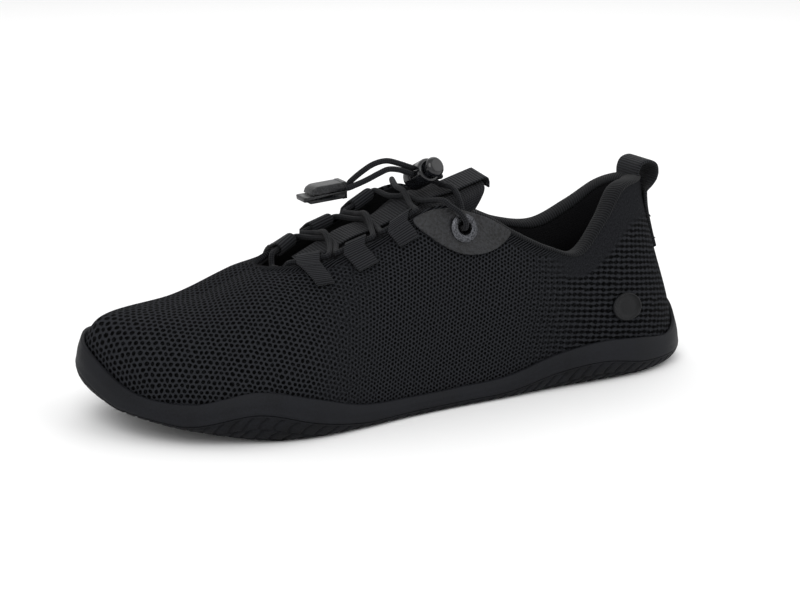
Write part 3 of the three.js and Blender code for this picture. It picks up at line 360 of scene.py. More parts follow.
# A grid as one closed body; a grid open on i gets end caps.
def gridPiece(name, points, maps=None, loopI=False, loopJ=True, ids=None, keep=None, flip=False,
              caps=True, **rest):
    ni, nj = points.shape[:2]
    quads, places = gridFaces(ni, nj, loopI, loopJ, ids, keep, flip)
    corner = {key: value.reshape(-1, 2)[places.ravel()] for key, value in (maps or {}).items()}
    if loopI or not caps:
        return makeObject(name, points.reshape(-1, 3), quads, corner, **rest)
    ends = [np.arange(nj)[::-1], np.arange(nj) + (ni - 1) * nj]
    if flip:
        ends = [e[::-1] for e in ends]
    for key in corner:
        extra = [value for e in ends for value in maps[key].reshape(-1, 2)[(e // nj) * (nj + 1) + e % nj]]
        corner[key] = np.concatenate([corner[key], extra])
    return makeObject(name, points.reshape(-1, 3), list(quads) + ends, corner, **rest)


# Distance along a grid in mm, i or j, with one more for the joined end.
def runs(points, axis):
    closed = np.concatenate([points, np.take(points, [0], axis)], axis)
    steps = np.linalg.norm(np.diff(closed, axis=axis), axis=2)
    return np.concatenate([0 * np.take(steps, [0], axis), np.cumsum(steps, axis)], axis)


def gridMap(points):
    return np.stack(np.meshgrid(runs(points, 0).mean(1), runs(points, 1).mean(0), indexing="ij"), -1)


# A smooth curve through points, nonuniform so that it doesn't overshoot.
def smoothCurve(points, count):
    p = np.asarray(points, float)
    p = np.concatenate([2 * p[:1] - p[1:2], p, 2 * p[-1:] - p[-2:-1]])
    span = np.maximum(np.linalg.norm(np.diff(p, axis=0), axis=1) ** 0.5, 1e-4)
    fine = []
    for i in range(1, len(p) - 2):
        a, b, c = span[i - 1], span[i], span[i + 1]
        m1 = ((p[i] - p[i - 1]) / a - (p[i + 1] - p[i - 1]) / (a + b) + (p[i + 1] - p[i]) / b) * b
        m2 = ((p[i + 1] - p[i]) / b - (p[i + 2] - p[i]) / (b + c) + (p[i + 2] - p[i + 1]) / c) * b
        t = np.linspace(0, 1, 24, endpoint=False)[:, None]
        fine.append((2 * t**3 - 3 * t**2 + 1) * p[i] + (t**3 - 2 * t**2 + t) * m1
                    + (3 * t**2 - 2 * t**3) * p[i + 1] + (t**3 - t**2) * m2)
    fine = np.concatenate(fine + [p[-2:-1]])
    run = np.concatenate([[0], np.cumsum(np.linalg.norm(np.diff(fine, axis=0), axis=1))])
    at = np.linspace(0, run[-1], count)
    return np.stack([np.interp(at, run, fine[:, axis]) for axis in range(3)], -1), run[-1]


# Catmull-Rom rows or columns between the given ones.
def refine(points, count, axis=0):
    p = np.moveaxis(np.asarray(points, float), axis, 0)
    n = len(p)
    at = np.linspace(0, n - 1, count)
    i = np.minimum(at.astype(int), n - 2)
    f = (at - i).reshape((-1,) + (1,) * (p.ndim - 1))
    pick = lambda j: np.where((j < 0).reshape(f.shape), 2 * p[0] - p[1], np.where(
        (j > n - 1).reshape(f.shape), 2 * p[-1] - p[-2], p[np.clip(j, 0, n - 1)]))
    return np.moveaxis(catmull(pick(i - 1), pick(i), pick(i + 1), pick(i + 2), f), 0, axis)


# A tube along points; its map runs in mm along and round.
def tubePiece(name, points, diameter, count, sides=12, taper=None, **rest):
    path, length = smoothCurve(points, count)
    tangent = unit(np.gradient(path, axis=0))
    side = np.cross(tangent[0], [0.1, 0.2, 1.0])
    frames = []
    for t in tangent:
        side = side - t * np.dot(side, t)
        side = side / np.linalg.norm(side)
        frames.append((side, np.cross(t, side)))
    a = np.linspace(0, 2 * math.pi, sides, endpoint=False)
    radius = diameter / 2 * (np.ones(count) if taper is None else taper(np.linspace(0, 1, count)))
    rings = np.stack([path[i] + radius[i] * (np.cos(a)[:, None] * f[0] + np.sin(a)[:, None] * f[1])
                      for i, f in enumerate(frames)])
    u = np.linspace(0, length, count)
    u = np.append(u, length)
    v = np.linspace(0, math.pi * diameter, sides + 1)
    cloth = np.stack(np.meshgrid(u, v, indexing="ij"), -1)
    piece = gridPiece(name, rings, {"clothMap": cloth}, loopJ=True, **rest)
    return piece, path, length


def roundCorners(points, radius, steps=5):
    made = []
    n = len(points)
    for i in range(n):
        a, b, c = (np.array(points[(i + m) % n], float) for m in (-1, 0, 1))
        r = radius[i] if isinstance(radius, (list, tuple)) else radius
        r1, r2 = min(r, np.linalg.norm(a - b) * 0.48), min(r, np.linalg.norm(c - b) * 0.48)
        if r < 1e-6:
            made.append(b)
            continue
        start, stop = b + (a - b) / np.linalg.norm(a - b) * r1, b + (c - b) / np.linalg.norm(c - b) * r2
        for t in np.linspace(0, 1, steps):
            made.append((1 - t)**2 * start + 2 * t * (1 - t) * b + t * t * stop)
    return np.array(made)


# A turned piece from a closed profile of radius and height, placed by a 4 x 4 frame.
def turned(name, profile, segments=48, place=np.eye(4), **rest):
    a = np.linspace(0, 2 * math.pi, segments, endpoint=False)
    profile = np.asarray(profile, float)
    points = np.stack([profile[None, :, 0] * np.cos(a)[:, None], profile[None, :, 0] * np.sin(a)[:, None],
                       np.broadcast_to(profile[None, :, 1], (segments, len(profile)))], -1)
    ids = np.arange(segments * len(profile)).reshape(segments, -1).copy()
    onAxis = profile[:, 0] < 1e-6
    ids[:, onAxis] = ids[0, onAxis]
    points = points @ place[:3, :3].T + place[:3, 3]
    quads, _ = gridFaces(segments, len(profile), True, not onAxis.any(), ids)
    faces = [list(dict.fromkeys(q)) for q in quads]
    return makeObject(name, points.reshape(-1, 3), [f for f in faces if len(f) > 2], **rest)


def frameOf(x, y, z, origin):
    made = np.eye(4)
    made[:3, 0], made[:3, 1], made[:3, 2], made[:3, 3] = x, y, z, origin
    return made


# Cuts shapes out of a piece and removes the tools.
def carve(piece, *tools):
    for tool in tools:
        cutter = piece.modifiers.new("cut", "BOOLEAN")
        cutter.object, cutter.operation, cutter.solver = tool, "DIFFERENCE", "EXACT"
    graph = bpy.context.evaluated_depsgraph_get()
    cutMesh = bpy.data.meshes.new_from_object(piece.evaluated_get(graph))
    piece.modifiers.clear()
    old = piece.data
    piece.data = cutMesh
    bpy.data.meshes.remove(old)
    for tool in tools:
        bpy.data.objects.remove(tool)


def closeNormals(piece):
    made = bmesh.new()
    made.from_mesh(piece.data)
    bmesh.ops.recalc_face_normals(made, faces=made.faces)
    made.to_mesh(piece.data)
    made.free()


# Materials
def linear(text):
    parts = [int(text[i:i + 2], 16) / 255 for i in (1, 3, 5)]
    return [c / 12.92 if c <= 0.04045 else ((c + 0.055) / 1.055) ** 2.4 for c in parts] + [1.0]


def addNode(tree, kind, settings=None, inputs=None, out=0):
    made = tree.nodes.new("ShaderNode" + kind)
    for key, value in (settings or {}).items():
        setattr(made, key, value)
    for key, value in (inputs or {}).items():
        if isinstance(value, bpy.types.NodeSocket):
            tree.links.new(value, made.inputs[key])
        else:
            made.inputs[key].default_value = value
    return made.outputs[out]


def newMaterial(name, colour, roughness, **sockets):
    made = bpy.data.materials.new(name)
    made.use_nodes = True
    shader = made.node_tree.nodes["Principled BSDF"]
    shader.inputs["Base Color"].default_value = linear(colour)
    shader.inputs["Roughness"].default_value = roughness
    for key, value in sockets.items():
        shader.inputs[key.replace("_", " ")].default_value = value
    return made, made.node_tree, shader


# Three waves at 60 degrees: a field of round cells, pitch mm apart, from -0.5 to 1.
def hexCells(tree, place, pitch, turn=0.0):
    total = None
    for n in range(3):
        angle = math.radians(turn + 60 * n)
        rate = 2 * math.pi / (pitch * math.sqrt(3) / 2)
        way = (math.cos(angle) * rate, math.sin(angle) * rate, 0)
        dot = addNode(tree, "VectorMath", {"operation": "DOT_PRODUCT"}, {0: place, 1: way}, "Value")
        wave = addNode(tree, "Math", {"operation": "COSINE"}, {0: dot})
        total = wave if total is None else addNode(tree, "Math", {"operation": "ADD"}, {0: total, 1: wave})
    return addNode(tree, "Math", {"operation": "DIVIDE"}, {0: total, 1: 3.0})


# One wave of the given pitch and direction, -1 to 1.
def ribs(tree, place, pitch, turn=0.0):
    angle = math.radians(turn)
    rate = 2 * math.pi / pitch
    way = (math.cos(angle) * rate, math.sin(angle) * rate, 0)
    dot = addNode(tree, "VectorMath", {"operation": "DOT_PRODUCT"}, {0: place, 1: way}, "Value")
    return addNode(tree, "Math", {"operation": "SINE"}, {0: dot})


smoothRange = {"interpolation_type": "SMOOTHSTEP"}


# Colour from dark to light by a height, and a bump of that height in mm. On the knit and the cloths the dark
# low parts are painted shade; on moulded pieces the height is a random grain of tone.
def dress(tree, shader, height, dark, light, depth, distance=1.0, rough=None):
    ramp = addNode(tree, "Mix", {"data_type": "RGBA"}, {0: height, 6: linear(dark), 7: linear(light)}, 2)
    tree.links.new(ramp, shader.inputs["Base Color"])
    bump = addNode(tree, "Bump", {}, {"Strength": depth, "Distance": distance * 0.001, "Height": height})
    tree.links.new(bump, shader.inputs["Normal"])
    if rough:
        worn = addNode(tree, "MapRange", smoothRange, {"Value": height, "To Min": rough[0], "To Max": rough[1]})
        tree.links.new(worn, shader.inputs["Roughness"])


# Pitches in mm, turns in degrees; the dark colour is painted shade in the pits between the cells
knitLook = {"dark": "#000000", "light": "#26272a", "cell": 2.2, "cellTurn": 12, "mesh": 1.9, "meshTurn": 30,
            "twill": 2.5, "twillTurn": 118, "dash": 3.4, "dashTurn": 30, "hem": 1.1,
            "waveReach": 1.6, "fuzz": 0.9, "collar": 0.55, "depth": 0.9, "roughness": 0.95}


def knitMaterial():
    # Polyester yarn, jacquard knitted, matt black: grey on every raised cell, and the pits between them painted
    # black as painted shade.
    made, tree, shader = newMaterial("jacquardKnit", knitLook["light"], knitLook["roughness"],
                                     Sheen_Weight=0.0, Specular_IOR_Level=0.04)
    place = addNode(tree, "UVMap", {"uv_map": "clothMap"})
    zones = addNode(tree, "UVMap", {"uv_map": "zoneMap"})
    zone = addNode(tree, "SeparateXYZ", {}, {0: zones}, 0)  # 0 at the heel, 1 at the toe
    row = addNode(tree, "SeparateXYZ", {}, {0: zones}, 1)  # 0 at the sole, 1 at the edge
    wobble = addNode(tree, "TexNoise", {}, {"Vector": place, "Scale": 0.22, "Detail": 2.0}, "Color")
    reach = knitLook["waveReach"]
    shift = addNode(tree, "VectorMath", {"operation": "MULTIPLY_ADD"},
                    {0: wobble, 1: (reach, reach, 0), 2: place})
    slant = ribs(tree, shift, knitLook["twill"], knitLook["twillTurn"])
    dashes = ribs(tree, shift, knitLook["dash"], knitLook["dashTurn"])
    broken = addNode(tree, "Math", {"operation": "MULTIPLY_ADD"}, {0: dashes, 1: 0.55, 2: slant})
    # the patterns, and where each one fades in
    ranges = {
        "cells": (hexCells(tree, shift, knitLook["cell"], knitLook["cellTurn"]), 0.34, -0.26),
        "mesh": (hexCells(tree, shift, knitLook["mesh"], knitLook["meshTurn"]), 0.34, -0.2),
        "twill": (broken, -0.9, 0.9),
        "hem": (ribs(tree, place, knitLook["hem"], 90), -0.8, 0.8),
        "front": (zone, 0.60, 0.74),
        "heel": (zone, 0.44, 0.30),
        "hemRow": (row, 0.94, 0.97),
        "hemZone": (zone, 0.80, 0.76),
        "collarRow": (row, 0.80, 0.86),
        "collarZone": (zone, 0.40, 0.30),
    }
    part = {}
    for name, (value, low, high) in ranges.items():
        part[name] = addNode(tree, "MapRange", smoothRange, {"Value": value, "From Min": low, "From Max": high})
    for name in ("hem", "collar"):
        part[name + "Share"] = addNode(tree, "Math", {"operation": "MULTIPLY"},
                                       {0: part[name + "Row"], 1: part[name + "Zone"]})
    height = part["mesh"]
    for share, pattern in (("front", part["cells"]), ("heel", part["twill"]), ("hemShare", part["hem"]),
                           ("collarShare", knitLook["collar"])):
        height = addNode(tree, "Mix", {"data_type": "FLOAT"}, {0: part[share], 2: height, 3: pattern})
    fuzz = addNode(tree, "TexNoise", {}, {"Vector": place, "Scale": 1.0 / knitLook["fuzz"], "Detail": 2.0})
    height = addNode(tree, "Math", {"operation": "MULTIPLY_ADD"}, {0: fuzz, 1: 1.1, 2: height})
    height = addNode(tree, "Math", {"operation": "MULTIPLY_ADD", "use_clamp": True},
                     {0: height, 1: 0.9, 2: -0.45})
    # the low parts of the height take the dark colour: painted shade in the pits between the cells
    dress(tree, shader, height, knitLook["dark"], knitLook["light"], knitLook["depth"], 0.7)
    return made


# Woven or knitted cloth: ribs of a pitch and turn, crossed by others if told, with some yarn grain, and painted
# shade darkening the grooves between the ribs.
def clothMaterial(name, dark, light, pitch, turn=0.0, cross=0.0, depth=0.6, roughness=0.9, grain=0.5):
    made, tree, shader = newMaterial(name, light, roughness, Sheen_Weight=0.05, Sheen_Roughness=0.5,
                                     Specular_IOR_Level=0.06)
    place = addNode(tree, "UVMap", {"uv_map": "clothMap"})
    wave = ribs(tree, place, pitch, turn)
    if cross:
        other = ribs(tree, place, pitch, turn + cross)
        wave = addNode(tree, "Math", {"operation": "MULTIPLY"}, {0: wave, 1: other})
    height = addNode(tree, "MapRange", smoothRange, {"Value": wave, "From Min": -0.9, "From Max": 0.9})
    yarn = addNode(tree, "TexNoise", {}, {"Vector": place, "Scale": 1.0 / grain, "Detail": 3.0})
    height = addNode(tree, "Math", {"operation": "MULTIPLY_ADD"}, {0: yarn, 1: 0.5, 2: height})
    height = addNode(tree, "Math", {"operation": "MULTIPLY", "use_clamp": True}, {0: height, 1: 0.7})
    # the low grooves between the ribs take the dark colour: painted shade
    dress(tree, shader, height, dark, light, depth, 0.5)
    return made


# Moulded, coated or plated: a fine grain over broad, faint clouds.
def mouldedMaterial(name, dark, light, roughness, grain=0.8, depth=0.15, distance=0.2, low=0.5, high=0.9,
                    **sockets):
    made, tree, shader = newMaterial(name, light, roughness, **sockets)
    coords = addNode(tree, "TexCoord", {}, {}, "Object")
    place = addNode(tree, "VectorMath", {"operation": "SCALE"}, {0: coords, "Scale": 1000.0})
    fine = addNode(tree, "TexNoise", {}, {"Vector": place, "Scale": 1.0 / grain, "Detail": 3.0})
    broad = addNode(tree, "TexNoise", {}, {"Vector": place, "Scale": 1.0 / 14.0, "Detail": 2.0})
    mixed = addNode(tree, "Math", {"operation": "MULTIPLY_ADD"}, {0: broad, 1: 0.45, 2: fine})
    height = addNode(tree, "MapRange", smoothRange, {"Value": mixed, "From Min": low, "From Max": high})
    dress(tree, shader, height, dark, light, depth, distance,
          (max(0.02, roughness - 0.07), min(1.0, roughness + 0.07)))
    return made


looks = {
    # Jacquard knit: matt cells, with painted shade darkening the pits between the yarns
    "knit": knitMaterial(),
    # Brushed tricot: soft, nearly flat black inside the shoe
    "lining": clothMaterial("brushedTricot", "#080809", "#18181a", 1.2, 0, 90, 0.35),
    # Rib knit binding: fine upright ribs round the collar
    "binding": clothMaterial("ribKnitBinding", "#070708", "#1f2022", 1.2, 0, 0, 0.6),
    # Spacer mesh tongue: small diamonds
    "tongue": clothMaterial("spacerMesh", "#030303", "#222326", 2.3, 45, 90, 0.8),
    # Grosgrain: ribs across the tape, a little shine on each, and painted shade in the grooves between them
    "grosgrain": clothMaterial("grosgrainTape", "#08080a", "#292a2d", 1.1, 0, 0, 0.7, 0.8, 0.4),
    # Twill ribbon: slanted ribs
    "ribbon": clothMaterial("twillRibbon", "#08080a", "#27282b", 1.3, 0, 0, 0.7, 0.8, 0.4),
    # Braided polyester over elastic: slanted strands both ways
    "braid": clothMaterial("braidedElastic", "#060607", "#242528", 1.3, 45, 90, 0.7, 0.8, 0.4),
    # Coated leather: mottled grey-black with a soft shine
    "patch": mouldedMaterial("coatedLeather", "#060607", "#222326", 0.45, 1.1, 0.6, 0.35,
                             Specular_IOR_Level=0.3),
    # TPU, moulded with a fine matt grain
    "badge": mouldedMaterial("mouldedTpu", "#08080a", "#121315", 0.5, 0.6, 0.2, 0.2, Specular_IOR_Level=0.18),
    # Zinc alloy, black nickel plated and tumbled: dark mirror with a fine grain
    "metal": mouldedMaterial("blackNickel", "#1a1b1d", "#5c5d61", 0.36, 0.55, 0.3, 0.15, Metallic=1.0),
    # Spring steel, drawn wire: plain bright grey
    "steel": mouldedMaterial("springSteel", "#7a7c80", "#9a9ca0", 0.3, 0.5, 0.1, 0.1, Metallic=1.0),
    # Acetal, polished mould: near black and glossy
    "acetal": mouldedMaterial("acetal", "#0a0a0b", "#16171a", 0.16, 2.0, 0.03, 0.1, IOR=1.48),
    # ABS, sand-blasted mould: grey-black with light specks
    "abs": mouldedMaterial("sandedAbs", "#060607", "#2e2f32", 0.4, 0.6, 0.35, 0.2, 0.6, 1.0,
                           Specular_IOR_Level=0.3),
    # Carbon-black rubber, moulded: dull dark slate
    "rubber": mouldedMaterial("treadRubber", "#070708", "#15161a", 0.65, 0.6, 0.3, 0.2,
                              Specular_IOR_Level=0.12),
    # The same rubber with a smooth mould face: an even slate band
    "sidewall": mouldedMaterial("sidewallRubber", "#0e0f12", "#17181c", 0.6, 0.7, 0.12, 0.15,
                                Specular_IOR_Level=0.13),
    # Non-woven board, pale and fibrous, hidden under the insole
    "board": mouldedMaterial("strobelBoard", "#5b5a57", "#74736f", 0.9, 0.8, 0.4, 0.2),
    # Open-cell foam: flat dark grey
    "eva": mouldedMaterial("evaFoam", "#0f0f10", "#1a1a1c", 0.9, 0.7, 0.4, 0.3),
    # Jersey top cloth of the insole
    "sock": clothMaterial("insoleJersey", "#080809", "#161618", 1.1, 0, 90, 0.35),
    # Bonded nylon thread, slightly glossier than the tapes
    "thread": clothMaterial("bondedNylonThread", "#0c0c0d", "#303134", 0.7, 45, 0, 0.5, 0.6, 0.4),
}
print("materials made", len(looks))

columns = np.arange(last["columns"]) * ring / last["columns"]
columnK = fromHeel(columns)


# Knit upper: fine shell, rolled edge, a hem along the throat
upper = {"rows": 81, "innerRows": 10, "roll": 7, "hemWidth": 3.2, "hemRise": 0.45, "grooveWidth": 0.7}


# A grid of layer points: outer face up, round the top edge, inner face down, per ring column.
def shellGrid(s, outer, inner, low=0.0, high=8.0, rows=41, innerRows=10, roll=5):
    k = fromHeel(s)[:, None]
    up, down = np.linspace(low, high, rows), np.linspace(high, low, innerRows)
    column = np.asarray(s)[:, None]
    outside = layerAt(column, up[None], -outer(k, up[None]) + 0 * k)
    inside = layerAt(column, down[None], -inner(k, down[None]) + 0 * k)
    rim = outside[:, -1]
    way = np.cross(np.gradient(rim, axis=0), unit(inside[:, 0] - rim))
    away = outside[:, -1] - outside[:, -3]
    way = unit(way) * np.sign((way * away).sum(1, keepdims=True) + 1e-9)
    a = np.linspace(0, math.pi, roll + 2)[1:-1][None, :, None]
    middle, half = (rim + inside[:, 0])[:, None] / 2, (rim - inside[:, 0])[:, None] / 2
    size = np.linalg.norm(half, axis=2, keepdims=True)
    turn = middle + half * np.cos(a) + way[:, None] * size * np.sin(a) * 0.8
    return np.concatenate([outside, turn, inside], 1)


# Columns of both sides meet on the ridge of the toe: one point for both.
def weldRidge(count, nj, first, final):
    ids = np.arange(count * nj).reshape(count, nj).copy()
    for i in np.where(columnK >= last["throat"] - 1e-9)[0]:
        twin = (count - i) % count
        if twin > i:
            ids[twin, first:final + 1] = ids[i, first:final + 1]
    return ids


# Lays the upper's wall flat, in mm, so that the knit keeps its pitch all over.
def clothUnwrap():
    cols, rows = 112, 17
    s = np.arange(cols + 1) * ring / cols
    r = np.linspace(0, 8, rows)
    points = layerAt(np.minimum(s, ring - 1e-6)[:, None], r[None], 0.0)
    ids = np.arange((cols + 1) * rows).reshape(cols + 1, rows).copy()
    for i in range(cols // 2 + 1):
        if fromHeel(s[i]) >= last["throat"]:
            ids[cols - i, -1] = ids[i, -1]
    quads, _ = gridFaces(cols + 1, rows, False, False, ids)
    used, local = np.unique(quads, return_inverse=True)
    local = local.reshape(quads.shape)
    mesh = bpy.data.meshes.new("unwrap")
    faces = [list(dict.fromkeys(q)) for q in local.tolist()]
    mesh.from_pydata((points.reshape(-1, 3)[used]).tolist(), [], faces)
    mesh.uv_layers.new(name="clothMap")
    piece = bpy.data.objects.new("unwrap", mesh)
    bpy.context.scene.collection.objects.link(piece)
    bpy.context.view_layer.objects.active = piece
    piece.select_set(True)
    bpy.ops.object.mode_set(mode="EDIT")
    bpy.ops.mesh.select_all(action="SELECT")
    bpy.ops.uv.unwrap(method="ANGLE_BASED", margin=0)
    bpy.ops.object.mode_set(mode="OBJECT")
    flat = np.zeros((len(used), 2))
    spread = np.zeros(len(mesh.loops) * 2)
    mesh.uv_layers[0].data.foreach_get("uv", spread)
    corner = np.zeros(len(mesh.loops), np.int32)
    mesh.loops.foreach_get("vertex_index", corner)
    flat[corner] = spread.reshape(-1, 2)
    area = sum(p.area for p in mesh.polygons)
    uv = spread.reshape(-1, 2)
    flatArea = 0.0
    for p in mesh.polygons:
        q = uv[list(p.loop_indices)]
        flatArea += abs(np.sum(q[:, 0] * np.roll(q[:, 1], -1) - q[:, 1] * np.roll(q[:, 0], -1))) / 2
    table = flat[np.searchsorted(used, ids)] * math.sqrt(area / flatArea)
    way = table[cols // 2, -1] - table[int(cols * 11 / 28), -1]
    angle = -math.atan2(way[1], way[0])
    table = table @ np.array([[math.cos(angle), math.sin(angle)], [-math.sin(angle), math.cos(angle)]])
    bpy.data.objects.remove(piece)
    bpy.data.meshes.remove(mesh)
    return table


clothTable = clothUnwrap()
print("cloth laid flat", np.ptp(clothTable.reshape(-1, 2), axis=0).round(0))


def clothMapAt(s, r):
    cols, rows = clothTable.shape[0] - 1, clothTable.shape[1]
    at = np.clip(np.asarray(s, float) / ring * cols, 0, cols)
    level = np.clip(np.asarray(r, float) / 8 * (rows - 1), 0, rows - 1)
    i, j = np.minimum(at.astype(int), cols - 1), np.minimum(level.astype(int), rows - 2)
    f, g = (at - i)[..., None], (level - j)[..., None]
    t = clothTable
    return ((t[i, j] * (1 - f) + t[i + 1, j] * f) * (1 - g)
            + (t[i, j + 1] * (1 - f) + t[i + 1, j + 1] * f) * g)


def shellMaps(rows, innerRows, roll):
    s, high = np.append(columns, ring), float(last["topRow"])
    r = np.concatenate([np.linspace(0, high, rows), np.full(roll, high), np.linspace(high, 0, innerRows), [0]])
    sGrid, rGrid = np.meshgrid(s, r, indexing="ij")
    zone = np.stack([fromHeel(np.minimum(sGrid, ring - 1e-6)) / 14, rGrid / 8], -1)
    return {"clothMap": clothMapAt(sGrid, rGrid), "zoneMap": zone}


# A whole shell of the last, with both faces, the rolled edge and the welded ridge.
def wholeShell(name, points, rows, roll, **rest):
    count, nj = points.shape[:2]
    first, final = rows - 1, rows + roll
    ids = weldRidge(count, nj, first, final)
    vamp = columnK >= last["throat"] - 1e-9

    def keep(i, j):
        both = vamp[i % count] & vamp[(i + 1) % count]
        return ~(both & (j >= first) & (j < final))

    flat = points.reshape(-1, 3)
    for i in np.where(vamp)[0]:
        twin = (count - i) % count
        if twin > i:
            both = (points[i, first:final + 1] + points[twin, first:final + 1]) / 2
            flat[ids[i, first:final + 1]] = both
    maps = shellMaps(rows, nj - rows - roll, roll)
    return gridPiece(name, points, maps, loopI=True, ids=ids, keep=keep, **rest)


def eyeletFrame(side):
    centre = onWall(7.3, side, 0, 9, 0)
    n = unit(onWall(7.3, side, 0, 9, 1) - centre)
    x = unit(np.array([1.0, 0, 0]) - n[0] * n)
    return frameOf(x, np.cross(n, x), n, centre)


def rodAt(place, radius, low, high, segments=40):
    return turned("tool", [[0, low], [radius, low], [radius, high], [0, high]], segments, place, body=None)


def knitUpper():
    zero = lambda k, r: 0 * (k + r)
    grid = shellGrid(columns, zero, lambda k, r: layers["knit"] + 0 * (k + r), rows=upper["rows"],
                     innerRows=upper["innerRows"], roll=upper["roll"])
    s = columns[:, None]
    r = np.linspace(0, 8, upper["rows"])[None]
    outside = grid[:, :upper["rows"]]
    edgeK = np.linspace(6.0, 10.999, 220)
    edge = np.concatenate([wallAt(edgeK, 1.0), wallAt(ring - edgeK, 1.0)])
    near = np.where((columnK > 5)[:, None] & (r > 4.5))
    spot = outside[near]
    distance = np.full(outside.shape[:2], 99.0)
    distance[near] = np.concatenate([
        np.linalg.norm(part[:, None] - edge[None], axis=2).min(1) for part in np.array_split(spot, 40)])
    share = smooth(columnK, 6.4, 7.2)[:, None]
    rise = upper["hemRise"] * (1 - smooth(distance, upper["hemWidth"] - 0.5, upper["hemWidth"]))
    groove = np.exp(-((distance - upper["hemWidth"] - 0.3) / upper["grooveWidth"]) ** 2)
    v = levelOf(*np.broadcast_arrays(s, r))
    normal = unit(read("normals", np.broadcast_to(s, v.shape), v))
    outside += normal * ((rise - 0.35 * groove) * share * (r > 4.5))[..., None]
    piece = wholeShell("knit_upper_shell", grid, upper["rows"], upper["roll"], slot="knit",
                       node="knit_upper", material=looks["knit"], flip=True)
    carve(piece, rodAt(eyeletFrame(1), 4.2, -8, 8), rodAt(eyeletFrame(-1), 4.2, -8, 8))
    return piece


def liningShell():
    grid = shellGrid(columns, liningOutside, lambda k, r: liningOutside(k, r) + layers["lining"],
                     rows=33, innerRows=33, roll=3)
    piece = wholeShell("lining_shell", grid, 33, 3, slot="lining", node="knit_lining",
                       material=looks["lining"], flip=True)
    carve(piece, rodAt(eyeletFrame(1), 4.2, -8, 8), rodAt(eyeletFrame(-1), 4.2, -8, 8))


# Part of a shell over a run of stations either side of centre: stiffeners and collar foam.
def partShell(name, centre, reach, low, high, outer, inner, material, slot, **rest):
    s = (centre + np.linspace(-reach, reach, 129)) % ring
    grid = shellGrid(s, outer, inner, low, high, 25, 25, 3)
    maps = gridMap(grid)
    return gridPiece(name, grid, {"clothMap": maps}, slot=slot, material=material, flip=True, **rest)


knitUpper()
liningShell()
inner = lambda k, r: layers["knit"] + gap + np.maximum(0.25, stiffenerAt(k, r) - gap + 0.02)
outer = lambda k, r: layers["knit"] + gap + 0 * (k + r)
partShell("heel_counter_shell", 0, 4, 0.2, 5, outer, inner, looks["board"], "board", node="heel_counter")
partShell("toe_puff_shell", 14, 2, 0.2, 4, outer, inner, looks["board"], "board", node="toe_puff")
foamPad = partShell("collar_padding", 0, 5, 5, 7.95, lambda k, r: outer(k, r) + stiffenerAt(k, r),
                    lambda k, r: outer(k, r) + stiffenerAt(k, r) + np.maximum(0.25, foamAt(k, r)),
                    looks["eva"], "padding", node="collar_foam")
print("upper made")


# Collar binding
def collarBinding():
    reach = layers["bindingStart"]
    s = np.linspace(-reach, reach, 261) % ring
    rise = unit(wallAt(s, 1.0) - layerAt(s, 8.0, 0.0))
    wide = (liningOutside(fromHeel(s), 8.0) + layers["lining"])[:, None]
    full = layers["binding"]
    normal = unit(read("normals", s, levelOf(s, 8.0 + 0 * s)))
    rim = layerAt(s, 8.0, 0.0)
    at = lambda depth, height: rim - normal * depth + rise * height
    points = [at(-0.15, gap), at(-0.55, full * 0.3), at(-0.35, full * 0.65), at(wide * 0.12, full * 0.95),
              at(wide * 0.35, full * 1.08), at(wide * 0.65, full * 1.08), at(wide * 0.88, full * 0.9),
              at(wide + 0.25, full * 0.55), at(wide + 0.25, full * 0.25), at(wide, gap)]
    grid = refine(np.stack(points), 31).transpose(1, 0, 2)
    gridPiece("collar_binding_band", grid, {"clothMap": gridMap(grid)}, slot="knit", node="collar_binding",
              material=looks["binding"])


collarBinding()


# Tongue
tongue = {"drop": 8.4, "thickness": 4.5, "lean": 19, "rows": 121, "columns": 61, "length": 125.0,
          "width": 62.0, "edge": 3.2, "seam": 6.5, "seamWidth": 0.9, "seamDepth": 0.28,
          "stations": [7.5, 8, 8.5, 9, 9.5, 10, 10.5, 11, 11.5]}


def tongueRow(k, depth):
    edges = []
    for side in (1, -1):
        s = np.array([k if side > 0 else ring - k])
        edges.append((layerAt(s, 8.0, -depth)[0], layerAt(s, 7.0, -depth)[0]))
    (a, aUnder), (b, bUnder) = edges
    if k >= last["throat"]:
        mix = lambda p, q, f: p + (q - p) * f
        return [aUnder, mix(aUnder, a, 0.35), mix(aUnder, a, 0.7), a,
                mix(bUnder, b, 0.7), mix(bUnder, b, 0.35), bUnder]
    rise = 0.62 + 0.38 * float(smooth(k, 7.8, 9.5)) + 0.34 * float(smooth(k, 8.5, 9.6))
    crown = np.linalg.norm(a - b) * rise
    ta, tb = unit(a - aUnder) * crown, unit(bUnder - b) * crown
    bridge = lambda f: ((2 * f**3 - 3 * f**2 + 1) * a + (f**3 - 2 * f**2 + f) * ta
                        + (3 * f**2 - 2 * f**3) * b + (f**3 - f**2) * tb)
    return [aUnder, a, bridge(0.25), bridge(0.5), bridge(0.75), b, bUnder]


def tongueNet(depth):
    rows = [np.array(tongueRow(k, depth)) for k in tongue["stations"]]
    grow = unit(rows[0][3] - rows[1][3]) + np.array([0, 0, 0.22])
    free = []
    for f in (1, 0.5):
        across = np.abs(np.arange(7) - 3)[:, None] / 3
        p = rows[0] + grow * tongue["lean"] * f * (1 - 0.25 * across**2)
        p = p + (rows[0][3] + grow * tongue["lean"] * f * (1 - 0.25 * across**2) - p) * 0.18 * f
        p[:, 2] -= 0.8 * f * f * across[:, 0]
        free.append(p)
    return np.array(free + rows)


tongueTop = tongueNet(tongue["drop"])


